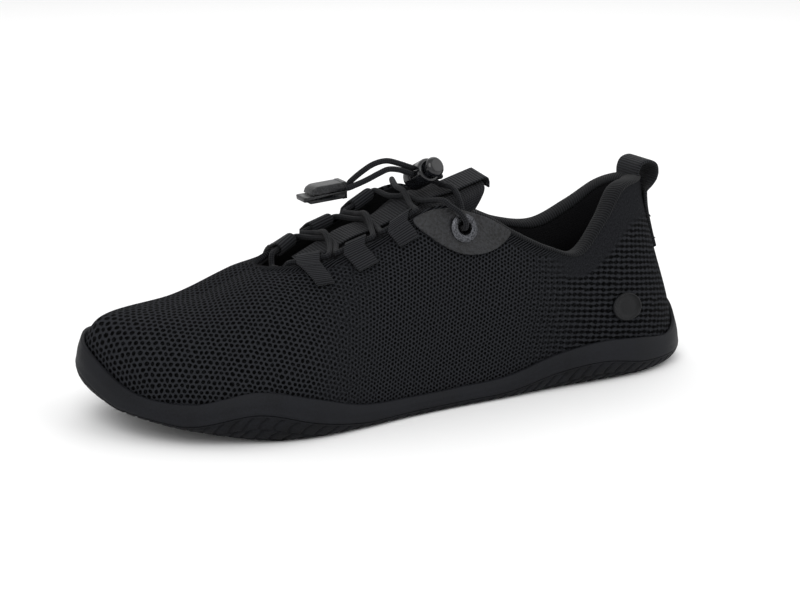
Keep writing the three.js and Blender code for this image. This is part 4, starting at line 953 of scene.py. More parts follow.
# On the tongue's upper face: row from 0 at the free end, across from -1 (outer side) to 1.
def onTongue(row, across, h):
    def at(rr, cc):
        r, c = min(max(rr, 0), len(tongueTop) - 1.001), min(max(cc, 0), 5.999)
        i, j = int(r), int(c)
        one = tongueTop[i][j] * (1 - c + j) + tongueTop[i][j + 1] * (c - j)
        two = tongueTop[i + 1][j] * (1 - c + j) + tongueTop[i + 1][j + 1] * (c - j)
        return one * (1 - r + i) + two * (r - i)
    column = 3 + 1.5 * across
    along, side = at(row + 0.5, column) - at(row - 0.5, column), at(row, column + 0.6) - at(row, column - 0.6)
    n = unit(np.cross(along, side))
    return at(row, column) + n * (h if n[2] > 0 else -h)


def tonguePad():
    rows, cols = tongue["rows"], tongue["columns"]
    high = refine(refine(tongueTop, rows), cols, 1)
    low = refine(refine(tongueNet(tongue["drop"] + tongue["thickness"]), rows), cols, 1)
    middle, half = (high + low) / 2, (high - low) / 2
    u, v = np.linspace(0, 1, rows)[:, None], np.linspace(0, 1, cols)[None]
    length, width = tongue["length"], tongue["width"]
    edge = np.minimum.reduce([u * length + 0 * v, (1 - u) * length + 0 * v,
                              v * width + 0 * u, (1 - v) * width + 0 * u])
    rounding = np.sqrt(1 - (1 - np.clip(edge / tongue["edge"], 0, 1)) ** 2)
    # Sewn across near the free end: a shallow channel, with the pad full on both sides of it
    seam = np.exp(-((u * length - tongue["seam"]) / tongue["seamWidth"]) ** 2)
    channel = 1 - tongue["seamDepth"] * seam * smooth(v, 0.1, 0.2) * smooth(1 - v, 0.1, 0.2)
    thick = (rounding * channel)[..., None]
    top, bottom = middle + half * thick, middle - half * thick
    ids = np.arange(rows * cols).reshape(rows, cols)
    other = ids + rows * cols
    other[0], other[-1], other[:, 0], other[:, -1] = ids[0], ids[-1], ids[:, 0], ids[:, -1]
    quads, places = gridFaces(rows, cols, ids=ids)
    back, backPlaces = gridFaces(rows, cols, ids=other, flip=True)
    net = np.stack(np.meshgrid(np.linspace(0, length, rows + 1), np.linspace(0, width, cols + 1),
                               indexing="ij"), -1).reshape(-1, 2)
    cloth = net[np.concatenate([places, backPlaces]).ravel()]
    piece = makeObject("tongue_pad", np.concatenate([top.reshape(-1, 3), bottom.reshape(-1, 3)]),
                       np.concatenate([quads, back]), {"clothMap": cloth}, slot="tongue_knit",
                       node="tongue", material=looks["tongue"])
    closeNormals(piece)


tonguePad()


# A flat tape along a route given as centre points and side vectors, with rounded edges.
def tape(name, centres, sides, lifts, width, thickness, material, crown=0.0, **rest):
    centres, sides, lifts = (np.asarray(x, float) for x in (centres, sides, lifts))
    r = min(thickness, width) * 0.45
    section = roundCorners([(-width / 2, -thickness / 2), (width / 2, -thickness / 2),
                            (width / 2, thickness / 2), (-width / 2, thickness / 2)], r, 4)
    section = np.concatenate([np.linspace(section[i], section[(i + 1) % len(section)], 7)[:-1]
                              if np.linalg.norm(section[i] - section[(i + 1) % len(section)]) > width / 2
                              else section[i:i + 1] for i in range(len(section))])
    bulge = crown * (1 - (section[:, 0] / (width / 2)) ** 2)
    grid = (centres[:, None] + sides[:, None] * section[None, :, :1]
            + lifts[:, None] * (section[:, 1] + bulge)[None, :, None])
    return gridPiece(name, grid, {"clothMap": gridMap(grid)}, material=material, **rest)


ribbon = {"width": 15.5, "thickness": 0.9, "rise": 0.75, "end": 8.4}


def tongueRibbon():
    rows = np.linspace(-0.05, ribbon["end"], 90)
    h = ribbon["rise"] + ribbon["thickness"] / 2
    middle = np.array([onTongue(row, 0, h) for row in rows])
    middle = smoothCurve(middle[::9], 120)[0]
    side = np.array([unit(onTongue(row, 0.5, h) - onTongue(row, -0.5, h)) for row in rows])
    side = refine(side[::9], 120)
    along = unit(np.gradient(middle, axis=0))
    side = unit(side - along * (side * along).sum(1, keepdims=True))
    lift = unit(np.cross(along, side))
    lift = lift * np.sign(lift[:, 2:])
    # the free end laps over the edge of the tongue and is sewn down behind it
    lap = [middle[0] - along[0] * back - lift[0] * down
           for back, down in ((0.9, 5.0), (1.6, 2.6), (1.5, 0.9), (0.8, 0.1))]
    centres = np.array(lap + list(middle))
    sides = np.concatenate([np.repeat(side[:1], len(lap), 0), side])
    way = unit(np.gradient(centres, axis=0))
    lifts = unit(np.cross(way, sides))
    tape("tongue_ribbon_tape", centres, sides, lifts, ribbon["width"], ribbon["thickness"] * 0.9,
         looks["ribbon"], slot="webbing", node="tongue_ribbon")


tongueRibbon()
print("tongue made")

# Lace loops
cord = {"diameter": 2.5}
loops = {"stations": [10.18, 9.45, 8.66], "rise": 1.15, "past": 3.7, "width": 10, "length": 13,
         "webbing": 1.2, "skew": 0.75}
eyeInner = cord["diameter"] / 2 + 0.98
eyeOuter = eyeInner + 0.85
eyeDrop = eyeOuter - loops["rise"] - loops["webbing"]


# A small sewn stitch at each point, lying along its direction and half sunk in the cloth.
def stitches(name, points, ways, normals, length=2.0, width=0.55, **rest):
    a = np.linspace(0, 2 * math.pi, 6, endpoint=False)
    section = [(-1.0, 0.15), (-0.8, 0.75), (-0.3, 1.0), (0.3, 1.0), (0.8, 0.75), (1.0, 0.15)]
    corners, faces = [], []
    for p, t, n in zip(points, ways, normals):
        t = unit(t)
        b = unit(np.cross(n, t))
        start = len(corners)
        for x, r in section:
            for angle in a:
                out = b * math.cos(angle) + n * math.sin(angle)
                corners.append(p + t * x * length / 2 + out * r * width / 2)
        for i in range(len(section) - 1):
            for j in range(6):
                m, at = (j + 1) % 6, start + i * 6
                faces.append([at + j, at + m, at + 6 + m, at + 6 + j])
        faces.append([start + j for j in range(6)][::-1])
        faces.append([start + (len(section) - 1) * 6 + j for j in range(6)])
    piece = makeObject(name, np.array(corners), faces, {"clothMap": np.zeros((sum(map(len, faces)), 2))},
                       material=looks["thread"], slot="webbing", **rest)
    closeNormals(piece)
    return piece


def laceLoop(n, side):
    word = "outer" if side > 0 else "inner"
    station = loops["stations"][n]
    mid = loops["rise"] + loops["webbing"] / 2
    eyeMiddle = (eyeInner + eyeOuter) / 2
    start = math.asin((loops["rise"] + eyeDrop) / eyeOuter)
    path = [(d, mid) for d in np.linspace(loops["length"], 0.2, 14)]
    for angle in np.linspace(math.pi / 2, 2 * math.pi + start - 0.08, 26):
        path.append((-loops["past"] + eyeMiddle * math.cos(angle), -eyeDrop + eyeMiddle * math.sin(angle)))
    path = np.array(path)
    thick = np.concatenate([np.full(14, loops["webbing"]), np.full(26, 0.85)])
    flow = unit(np.gradient(path, axis=0))
    across = np.stack([flow[:, 1], -flow[:, 0]], -1)
    half = loops["width"] / 2
    section = roundCorners([(-half, -0.5), (half, -0.5), (half, 0.5), (-half, 0.5)], 0.35, 4)
    a = section[None, :, 0] + 0 * thick[:, None]
    place = path[:, None] + across[:, None] * (section[:, 1][None] * thick[:, None])[..., None]
    a = a - loops["skew"] * np.maximum(0, place[..., 0])  # square to the edge, while the wall runs aslant
    grid = onWall(station, side, a, place[..., 0], place[..., 1])
    piece = gridPiece(f"lace_loop_tape_{word}_{n + 1}", grid, {"clothMap": gridMap(grid)}, slot="webbing",
                      node=f"lace_loop_{word}_{n + 1}", material=looks["grosgrain"])
    closeNormals(piece)
    spots = []
    for d in (loops["length"] - 1.6, 2.6):
        for a in np.linspace(-3.6, 3.6, 4):
            spots.append((a - loops["skew"] * d, d))
    spots = np.array(spots)
    top = loops["rise"] + loops["webbing"] + 0.02
    p = onWall(station, side, spots[:, 0], spots[:, 1], top)
    t = onWall(station, side, spots[:, 0] + 1, spots[:, 1], top) - p
    out = onWall(station, side, spots[:, 0], spots[:, 1], top + 1) - p
    return p, t, out


for side in (1, -1):
    rows = [laceLoop(n, side) for n in range(3)]
    stitches("loop_stitching_" + ("outer" if side > 0 else "inner"), *(np.concatenate(x) for x in zip(*rows)),
             length=1.7, width=0.5)
print("loops made")

# Eyelets and their patches
eyelet = {"station": 7.3, "drop": 9, "bore": 5.6, "flange": 12.6, "patchHalf": 24, "patchDepth": 18,
          "patchShift": -1, "patchHeight": 0.55, "patchThickness": 1.0, "patchHole": 4.25, "around": 160}


def patch(side):
    word = "outer" if side > 0 else "inner"
    count, hole = eyelet["around"], eyelet["patchHole"]
    a = np.linspace(0, 2 * math.pi, count, endpoint=False)
    low, high = np.full(count, 4.0), np.full(count, 60.0)

    def inside(r):
        x, d = r * np.cos(a), eyelet["drop"] + r * np.sin(a)
        f = (x - eyelet["patchShift"]) / eyelet["patchHalf"]
        far = 2.0 + eyelet["patchDepth"] * np.maximum(0, 1 - f * f) ** 0.8
        return (np.abs(f) < 1) & (d > 1.4) & (d < far)

    for _ in range(40):  # halves its way out to the edge of the leaf
        mid = (low + high) / 2
        low, high = np.where(inside(mid), mid, low), np.where(inside(mid), high, mid)
    rim = low
    bulk = eyelet["patchThickness"]
    levels = [(0.0, 0.0), (0.0, 0.5), (0.01, 0.97), (0.25, 1.0), (0.5, 1.0), (0.75, 1.0), (0.93, 1.0),
              (0.975, 0.9), (0.995, 0.6), (1.0, 0.2), (0.995, 0.0), (0.75, 0.0), (0.5, 0.0), (0.25, 0.0)]
    share = np.array([x for x, _ in levels])[None]
    lift = eyelet["patchHeight"] + bulk * np.array([h for _, h in levels])[None]
    radius = hole + (rim[:, None] - hole) * share
    grid = onWall(eyelet["station"], side, radius * np.cos(a)[:, None],
                  eyelet["drop"] + radius * np.sin(a)[:, None], lift + 0 * radius)
    piece = gridPiece(f"eyelet_leaf_{word}", grid, {"clothMap": gridMap(grid)}, loopI=True, slot="patch",
                      node=f"eyelet_patch_{word}", material=looks["patch"])
    closeNormals(piece)


def eyeletRing(side):
    word = "outer" if side > 0 else "inner"
    face = eyelet["patchHeight"] + eyelet["patchThickness"] + gap
    bore, rim = eyelet["bore"] / 2, eyelet["flange"] / 2
    inside = -(layers["knit"] + gap + layers["lining"] + gap + 0.8)
    back = inside - 0.6
    profile = roundCorners([(bore, back), (bore, face + 0.5), (bore + 0.9, face + 1.25),
                            (rim - 1.3, face + 1.15), (rim, face + 0.25), (rim - 0.2, face),
                            (bore + 1.1, face), (bore + 1.1, back)],
                           [0.1, 0.8, 0.8, 1.2, 0.25, 0.1, 0.1, 0.1], 5)
    piece = turned(f"eyelet_ring_{word}", profile, 64, eyeletFrame(side), slot="eyelet_metal",
                   node=f"eyelet_{word}", material=looks["metal"])
    closeNormals(piece)
    profile = roundCorners([(bore + 1.4, inside), (rim - 0.6, inside), (rim - 0.6, back),
                            (bore + 1.4, back)], 0.2, 3)
    piece = turned(f"eyelet_back_washer_{word}", profile, 48, eyeletFrame(side), slot="eyelet_metal",
                   node=f"eyelet_washer_{word}", material=looks["metal"])
    closeNormals(piece)


for side in (1, -1):
    patch(side)
    eyeletRing(side)

# Heel badges, left plain
badge = {"width": 16.5, "height": 12.5, "thickness": 1.0, "outerStation": 3.22, "innerStation": 3.15,
         "drop": 0.66, "outerRaise": 3.2}


def heelBadge(side):
    word = "outer" if side > 0 else "inner"
    station = badge["outerStation"] if side > 0 else badge["innerStation"]
    drop = read("length", station if side > 0 else ring - station) * badge["drop"]
    drop = drop - (badge["outerRaise"] if side > 0 else 0)
    a = np.linspace(0, 2 * math.pi, 96, endpoint=False)[:, None]
    levels = [(0.0, 0.62), (0.5, 0.62), (0.86, 0.62), (0.865, 0.9), (0.88, 1.0), (0.94, 1.08), (0.98, 0.95),
              (1.0, 0.6), (1.0, 0.1), (0.98, 0.0), (0.5, 0.0), (0.0, 0.0)]
    share = np.array([x for x, _ in levels])[None]
    lift = 0.6 + badge["thickness"] * np.array([h for _, h in levels])[None]
    # turn the level and upright directions of the wall into steps along and down it
    spot = onWall(station, side, np.array([0, 1, 0]), drop + np.array([0, 0, 1]), 0)
    stepA, stepD = spot[1] - spot[0], spot[2] - spot[0]
    normal = unit(np.cross(stepA, stepD))
    level = unit(np.cross([0, 0, 1.0], normal))
    upright = np.cross(normal, level)
    solve = np.linalg.lstsq(np.stack([stepA, stepD], 1), np.stack([level, upright], 1), rcond=None)[0]
    x, y = np.cos(a) * share * badge["width"] / 2, np.sin(a) * share * badge["height"] / 2
    grid = onWall(station, side, solve[0, 0] * x + solve[0, 1] * y,
                  drop + solve[1, 0] * x + solve[1, 1] * y, lift + 0 * x)
    ids = np.arange(grid.shape[0] * grid.shape[1]).reshape(grid.shape[:2]).copy()
    ids[:, 0], ids[:, -1] = ids[0, 0], ids[0, -1]
    quads, _ = gridFaces(*grid.shape[:2], True, False, ids)
    faces = [list(dict.fromkeys(q)) for q in quads]
    piece = makeObject(f"heel_badge_oval_{word}", grid.reshape(-1, 3), faces, slot="badge",
                       node=f"heel_badge_{word}", material=looks["badge"])
    closeNormals(piece)


heelBadge(1)
heelBadge(-1)

# Pull tab
tab = {"width": 18, "thickness": 1.4}


# Below the collar the tab is sewn down round the back of the heel, and narrows to its end.
def hugHeel(points, top):
    levels = np.linspace(0.5, 1, 60)
    line = wallAt(np.zeros(60), levels)
    v = np.interp(points[:, 2], line[:, 2], levels)
    reach = np.linalg.norm(wallAt(0.3, v) - wallAt(ring - 0.3, v), axis=1) / 0.6
    share = smooth(top[2] - 2 - points[:, 2], 0, 7)
    narrow = 1 - 0.45 * smooth(top[2] - 8 - points[:, 2], 0, 24)
    s = points[:, 1] * narrow / reach
    off = np.interp(v, levels, line[:, 0]) - points[:, 0]
    sunk = off - 0.9 * smooth(share, 0.5, 1)
    worn = wallAt(s % ring, v) + unit(read("normals", s % ring, v)) * sunk[:, None]
    return points * (1 - share[:, None]) + worn * share[:, None]


def pullTab():
    top = read("top", np.array([0.0]))[0]
    back = lambda v, out: wallAt(np.array([0.0]), v)[0] * [1, 0, 1] - [out, 0, 0]
    p = lambda x, z: np.array([top[0] + x, 0, top[2] + z])
    route = [back(0.55, 1.5), back(0.68, 1.5), back(0.82, 1.9), p(-4.6, -4.2), p(-5.8, 0.8), p(-4.9, 4.4),
             p(-1.1, 6.2), p(3, 5), p(4.6, 2), p(4.8, -1.2)]
    centres = smoothCurve(route, 90)[0]
    sides = np.tile([[0.0, 1.0, 0.0]], (90, 1))
    lifts = unit(np.cross(unit(np.gradient(centres, axis=0)), sides))
    piece = tape("heel_pull_tape", centres, sides, lifts, tab["width"], tab["thickness"], looks["grosgrain"],
                 slot="webbing", node="heel_pull_tab")
    points = np.array([v.co for v in piece.data.vertices]) * 1000
    points = hugHeel(points, top)
    piece.data.vertices.foreach_set("co", (points * 0.001).ravel())
    piece.data.update()
    spots, ways, normals = [], [], []
    for n in (6, 24):
        for y in np.linspace(-6.6, 6.6, 6):
            lift = lifts[n] if lifts[n][0] < 0 else -lifts[n]
            spots.append(centres[n] + sides[n] * y + lift * (tab["thickness"] / 2 + 0.02))
            ways.append(sides[n])
            normals.append(lift)
    stitches("pull_tab_stitching", hugHeel(np.array(spots), top), ways, normals, length=1.9)


pullTab()
print("trim made")


# The sole: a plate lying between its middle line and its edge, and the lines that its pieces share
def solePlate(s, edge, share, height):
    k = fromHeel(s)
    x = fitX(-112 + 209 * k / last["stations"])
    outer, inner = outline(k), outline((ring - k) % ring)
    y = np.where((k == 0) | (k == last["stations"]), outer[:, 1], (outer[:, 1] + inner[:, 1]) / 2)
    middle = np.stack([x, y * 0.8, 0 * x], -1)
    p = middle + (edge - middle) * share
    lift = edge[:, 2] - springAt(edge[:, 0])
    p[:, 2] = springAt(p[:, 0]) + height + lift * share**3
    return p, middle


def lifted(p, z):
    return np.concatenate([p[:, :2], np.reshape(z, (-1, 1))], 1)


def soleLines(s):
    hull = Hull(s)
    ringLine = hull.inward(layers["soleWall"] + 0 * s)
    ringLine[:, 2] = hull.heightAt(layers["soleWall"])
    inset = layers["soleWall"] - layers["cupWall"] - gap
    shelf = hull.part - gap / 2
    bend = np.maximum(ringLine[:, 2] + layers["treadPlate"], hull.heightAt(inset) + 1.4)
    return hull, ringLine, inset, shelf, np.minimum(shelf - 0.3, bend)


treadLook = {"columns": 1344, "flankRows": 30, "pitch": 6.2, "row": 6.0, "lean": 0.75, "bow": 0.2,
             "groove": 0.17, "depth": 0.85, "underPitch": 8.5, "underDepth": 1.0}


# Height of the lugs: leaning bowed scales in rows, each row half a pitch on.
def lugs(u, t):
    row = np.floor(t / treadLook["row"])
    y = t / treadLook["row"] - row
    q = (u - treadLook["lean"] * t) / treadLook["pitch"] + 0.5 * (row % 2)
    q = q + treadLook["bow"] * (2 * y - 1) ** 2
    x = np.abs(q - np.round(q))
    side = smooth(0.5 - x, 0.02, treadLook["groove"])
    end = smooth(np.minimum(y, 1 - y), 0.0, 0.12)
    return 1 - treadLook["depth"] * (1 - side * (0.35 + 0.65 * end))


def outsole():
    count = treadLook["columns"]
    s = np.arange(count) * ring / count
    h, ringLine, flankInset, shelf, corner = soleLines(s)
    inside = [solePlate(s, ringLine, share, layers["treadPlate"])[0] for share in (0.02, 0.45, 0.8)]
    inside += [lifted(ringLine, ringLine[:, 2] + layers["treadPlate"]),
               lifted(h.inward(flankInset + 0 * s), corner), lifted(h.inward(flankInset + 0 * s), shelf)]
    shares = np.linspace(1, 0, treadLook["flankRows"])
    flank = np.stack([h.at(h.turn * f) for f in shares], 1)
    flank[:, 0, 2] = shelf
    drop = np.linalg.norm(np.diff(flank, axis=1), axis=2)
    t = np.concatenate([0 * drop[:, :1], np.cumsum(drop, 1)], 1)
    u = np.concatenate([[0], np.cumsum(np.linalg.norm(np.diff(h.rim, axis=0), axis=1))])[:, None]
    along = unit(np.roll(flank, -1, 0) - np.roll(flank, 1, 0))
    normal = unit(np.cross(along, np.gradient(flank, axis=1)))
    normal *= np.sign((normal * h.out[:, None]).sum(2, keepdims=True) + 1e-9)
    shown = smooth(t, 0.5, 1.2)
    cutIn = (lugs(u, t - 0.6) - 1) * shown
    flank = flank + normal * cutIn[..., None]
    foot = h.at(0 * h.turn)
    middle = solePlate(s, ringLine, 0.0, 0.0)[1]
    bottom = []
    for share in np.linspace(1, 0.03, 34)[1:]:
        p = middle + (foot - middle) * share
        x, y = p[:, 0], p[:, 1]
        pitch = treadLook["underPitch"]
        q = x / pitch + 0.35 * np.abs(y) / pitch
        groove = smooth(0.5 - np.abs(q - np.round(q)), 0.05, 0.12)
        groove = groove * smooth(np.abs(np.abs(y) - 13), 0.9, 1.6)
        p[:, 2] = springAt(x) + treadLook["underDepth"] * (1 - groove) * smooth(1 - share, 0.03, 0.1)
        bottom.append(p)
    grid = np.concatenate([np.stack(inside, 1), flank, np.stack(bottom, 1)], 1)
    piece = gridPiece("outsole_rubber", grid, None, loopI=True, slot="tread_rubber", node="outsole_tread",
                      material=looks["rubber"])
    closeNormals(piece)


def midsole():
    s = np.arange(last["columns"]) * ring / last["columns"]
    h, ringLine, flankInset, _, corner = soleLines(s)
    floor = layers["treadPlate"] + layers["cupPlate"] + gap
    lip = last["lipRow"]
    lipOut = layerAt(s, float(lip), gap + layers["lip"])
    widest = lifted(h.rim, h.wide + 0.3)
    shoulder = widest + (lipOut - widest) * 0.55 + h.out * 0.35
    up = np.array([[0, 0, 1.0]])
    inside = [solePlate(s, ringLine, share, floor)[0] for share in (0.02, 0.45, 0.8)]
    inside.append(lifted(ringLine + h.out * (gap + 0.1), ringLine[:, 2] + floor))
    inside += [layerAt(s, r, gap) for r in np.linspace(0, lip - 0.15, 5)]
    edge = h.at(h.turn)
    edge[:, 2] = h.part + gap / 2
    band = [layerAt(s, float(lip), gap * 0.6), layerAt(s, float(lip), gap + layers["lip"] * 0.25) + up * 0.55,
            layerAt(s, float(lip), gap + layers["lip"] * 0.75) + up * 0.4, lipOut - up * 0.25,
            shoulder, widest + (shoulder - widest) * 0.4, widest, edge + (widest - edge) * 0.35]
    band = list(refine(np.stack(band), 36))
    under = [edge + h.out * -0.12 + up * 0.05, lifted(h.inward(flankInset + gap + 0 * s), h.part + gap / 2),
             lifted(h.inward(flankInset + gap + 0 * s), np.minimum(h.part, corner + gap + 0.15)),
             lifted(ringLine, ringLine[:, 2] + layers["treadPlate"] + gap)]
    under += [solePlate(s, ringLine, share, layers["treadPlate"] + gap)[0] for share in (0.8, 0.45, 0.02)]
    grid = np.stack(inside + band + [edge] + under, 1)
    piece = gridPiece("midsole_band", grid, None, loopI=True, slot="sidewall_rubber", node="midsole_cup",
                      material=looks["sidewall"])
    closeNormals(piece)


def insolePad():
    s = np.arange(224) * ring / 224
    k = fromHeel(s)
    h, ringLine = soleLines(s)[:2]
    depth = liningOutside(k, 1.0) + layers["lining"] + 0.8
    edge = h.inward(layers["soleWall"] + depth)
    edge[:, 2] = ringLine[:, 2]
    middle = solePlate(s, ringLine, 0.0, 0.0)[1]
    flatReach = (np.linalg.norm((edge - middle)[:, :2], axis=1)
                 / np.linalg.norm((ringLine - middle)[:, :2], axis=1))

    def at(f, height):
        p = middle + (edge - middle) * f
        bowl = ringLine[:, 2] - springAt(ringLine[:, 0])
        p[:, 2] = springAt(p[:, 0]) + height + bowl * (f * flatReach) ** 3 + 0.12
        return p

    low, high = baseStack + 0.1, baseStack + 0.1 + layers["insole"]
    grid = [at(f, high) for f in np.linspace(0.02, 0.97, 14)]
    grid += [at(0.99, high - 0.4), at(1.0, high - 1.2), at(1.0, low + 1), at(0.99, low + 0.2)]
    grid += [at(f, low) for f in np.linspace(0.97, 0.02, 10)]
    grid = np.stack(grid, 1)
    plan = np.concatenate([grid, grid[:1]])[..., :2]
    plan = np.concatenate([plan, plan[:, :1]], 1)
    piece = gridPiece("insole_pad", grid, {"clothMap": plan}, loopI=True, slot="insole_foam", node="insole",
                      material=looks["sock"])
    closeNormals(piece)


outsole()
midsole()
insolePad()
print("sole made")

# Lace, tails, cord lock and clip
lock = {"at": (-10, 1, 95.7), "slide": 6, "diameter": 11, "length": 14, "plunger": 7.6, "travel": 2.4}
clip = {"top": (28.5, 3, 93.4), "tip": (48.4, 3, 91.8), "length": 20, "width": 9.4, "height": 7.5,
        "cordDepth": 6}
cordWay = unit(np.array([0.93, 0.05, 0.36]))
barrelWay = unit(np.array([-0.054, 0.999, 0]) * 0.866 + np.array([-0.36, -0.019, 0.933]) * 0.5)
sideWay = np.cross(barrelWay, cordWay)
spread = cord["diameter"] / 2 + 0.2
lockFrame = frameOf(cordWay, sideWay, barrelWay, lock["at"])


def inLock(x, y, z):
    return lockFrame[:3, :3] @ np.array([x, y, z], float) + lockFrame[:3, 3]


def laceRoute():
    rowAt = lambda k: 2 + (k - tongue["stations"][0]) * 2
    st = loops["stations"]
    on = lambda side, a, d, h: onWall(eyelet["station"], side, a, d, h)
    inside = -(layers["knit"] + 2 * gap + layers["lining"] + 0.8 + 0.6 + gap + cord["diameter"] / 2 + 0.1)

    def through(n, side, way):
        return [onWall(st[n], side, way * f * (loops["width"] / 2 + 1.2), -loops["past"], -eyeDrop)
                for f in (-1.35, -0.9, -0.4, 0, 0.4, 0.9, 1.35)]

    def cross(k, start, above, skew):
        lift = ribbon["rise"] + ribbon["thickness"] + gap + cord["diameter"] / 2
        over = cord["diameter"] + gap if above else 0
        return [onTongue(rowAt(k - skew), -0.62 * start, lift + 0.5 + over * 0.45),
                onTongue(rowAt(k), 0, lift + 0.2 + over),
                onTongue(rowAt(k + skew), 0.62 * start, lift + 0.5 + over * 0.45)]

    def gate(side):
        e = eyeletFrame(side)
        onEyelet = lambda h: e[:3, :3] @ np.array([0, 0, h]) + e[:3, 3]
        r = lock["diameter"] / 2
        drop = eyelet["drop"]
        return [inLock(-r - 2.3, side * spread, 0), inLock(-r - 4.5, side * spread * 1.3, 0),
                onTongue(rowAt(7.3), -0.5 * side, 4), onTongue(rowAt(7.25), -0.95 * side, 2.6),
                on(side, 0, 0.5, inside), on(side, 0, drop - 4.6, inside),
                onEyelet(inside + 1.3), onEyelet(-3), onEyelet(0), onEyelet(2.6),
                on(side, 1.2, drop - 1.8, 4.9), on(side, 4.5, drop - 5, 5), on(side, 9, 1, 3.6),
                on(side, 11.5, -1.6, 2.4)]

    x1, x2, x3, bar = st[2] - 0.44, (st[2] + st[1]) / 2, (st[1] + st[0]) / 2, st[0] + 0.42
    turn = [onTongue(rowAt(bar + e), a, 3.2) for a, e in ((0.7, 0), (0, 0.04), (-0.7, 0))]
    return (gate(1) + cross(x1, 1, False, 0.1) + through(2, -1, 1) + cross(x2, -1, True, 0.05)
            + through(1, 1, 1) + cross(x3, 1, False, 0.05) + through(0, -1, 1) + turn
            + through(0, 1, -1) + cross(x3, 1, True, -0.05) + through(1, -1, -1) + cross(x2, -1, False, -0.05)
            + through(2, 1, -1) + cross(x1, 1, True, -0.1) + gate(-1)[::-1])


piece, _, laceLength = tubePiece("lace_cord", laceRoute(), cord["diameter"], 900, 14, slot="cord",
                                 node="lace", material=looks["braid"])
closeNormals(piece)
print("lace length", round(laceLength))

tailPoints = {
    "outer": [(7.2, 3.4, 99.7), (12, 4.2, 98.5), (18, 4.5, 96.2), (23.5, 4.5, 94.4)],
    "inner": [(7, 1.2, 103), (13, 1.3, 102.2), (19, 1.4, 99.2), (24.2, 1.5, 95.6)],
}
clipTop, clipTip = np.array(clip["top"], float), np.array(clip["tip"], float)
clipWay = unit(clipTip - clipTop)
clipFrame = frameOf(clipWay, (0, 1, 0), unit(np.cross(clipWay, (0, 1, 0))), clipTop)


def cordLock():
    r, bottom, top = lock["diameter"] / 2, -lock["length"] * 0.57, lock["length"] * 0.43
    profile = roundCorners([(0, bottom), (r - 1.2, bottom), (r, bottom + 1.6), (r, top), (0, top)],
                           [0, 1.8, 2.6, 1.3, 0], 8)
    body = turned("cord_lock_barrel", profile, 72, lockFrame, body="lock", slot="lock_plastic",
                  node="cord_lock_body", material=looks["acetal"])
    slotHigh = cord["diameter"] + 2 * gap + 0.1
    slotWide = 2 * (spread + cord["diameter"] / 2 + gap + 0.05)
    bore = turned("tool", [[0, bottom + 1.2], [lock["plunger"] / 2 + gap, bottom + 1.2],
                           [lock["plunger"] / 2 + gap, top + 1], [0, top + 1]], 48, lockFrame, body=None)
    carve(body, bore, slotTool(2 * r + 4, slotWide, slotHigh, 0))
    closeNormals(body)
    foot = -slotHigh / 2 - 1.2
    up = top + lock["travel"] + gap
    stem = lock["plunger"] / 2
    profile = roundCorners([(0, foot), (stem, foot), (stem, up), (stem + 0.7, up + 0.4),
                            (stem + 0.6, up + 1.7), (stem - 0.9, up + 2.8), (0, up + 2.75)],
                           [0, 0.2, 0.2, 0.5, 0.9, 0.8, 0], 5)
    plunger = turned("cord_lock_button", profile, 56, lockFrame, body="lock_button", slot="lock_plastic",
                     node="cord_lock_plunger", material=looks["acetal"])
    carve(plunger, slotTool(2 * r, slotWide, slotHigh + lock["travel"] + gap, (lock["travel"] + gap) / 2))
    closeNormals(plunger)
    coil = []
    for n in range(33):
        a = n * math.pi / 8
        z = bottom + 1.85 + (foot - 0.65 - bottom - 1.85) * n / 32
        coil.append(inLock(2.6 * math.cos(a), 2.6 * math.sin(a), z))
    piece = tubePiece("cord_lock_coil", coil, 0.6, 120, 8, body="lock", slot="spring_steel",
                      node="cord_lock_spring", material=looks["steel"])[0]
    closeNormals(piece)


# A box in the lock's frame that cuts the way for both cords.
def slotTool(x, y, z, lift):
    ends = (-0.5, 0.5)
    corners = np.array([[a * x, b * y, c * z + lift] for a in ends for b in ends for c in ends])
    points = corners @ lockFrame[:3, :3].T + lockFrame[:3, 3]
    faces = [[0, 1, 3, 2], [4, 6, 7, 5], [0, 4, 5, 1], [2, 3, 7, 6], [0, 2, 6, 4], [1, 5, 7, 3]]
    tool = makeObject("tool", points, faces, body=None)
    closeNormals(tool)
    return tool


# Half of the clip: an outline drawn out sideways, with rounded edges, drilled for the cords.
def clipHalf(name, outlinePoints, radius, node):
    rimLine = roundCorners(outlinePoints, radius, 5)
    half, n = clip["width"] / 2, len(rimLine)
    centre = rimLine.mean(0)
    layersAcross = [(-half, 0.9), (-half + 0.15, 0.5), (-half + 0.5, 0.15), (-half + 0.95, 0.0)]
    layersAcross += [(-y, inset) for y, inset in layersAcross[::-1]]
    direction = unit(np.gradient(np.concatenate([rimLine[-1:], rimLine, rimLine[:1]]), axis=0)[1:-1])
    inwards = np.stack([-direction[:, 1], direction[:, 0]], -1)
    if ((centre - rimLine) * inwards).sum() < 0:
        inwards = -inwards
    grid = []
    for y, inset in layersAcross:
        free = smooth(np.abs(rimLine[:, 1:]), 0.3, 1.2)
        p = rimLine + inwards * inset * (0.15 + 0.65 * free)
        grid.append(np.stack([p[:, 0], np.full(n, y), p[:, 1]], -1))
    grid = np.stack(grid) @ clipFrame[:3, :3].T + clipFrame[:3, 3]
    piece = gridPiece(name, grid, None, slot="clip_plastic", node=node, material=looks["abs"])
    closeNormals(piece)
    tools = []
    for side in (-1, 1):
        bore = clipTop + np.array([0, side * spread, 0])
        place = frameOf((0, 1, 0), np.cross(clipWay, (0, 1, 0)), clipWay, bore)
        tools.append(rodAt(place, cord["diameter"] / 2 + gap, -3, clip["cordDepth"], 24))
        closeNormals(tools[-1])
    carve(piece, *tools)
    return piece


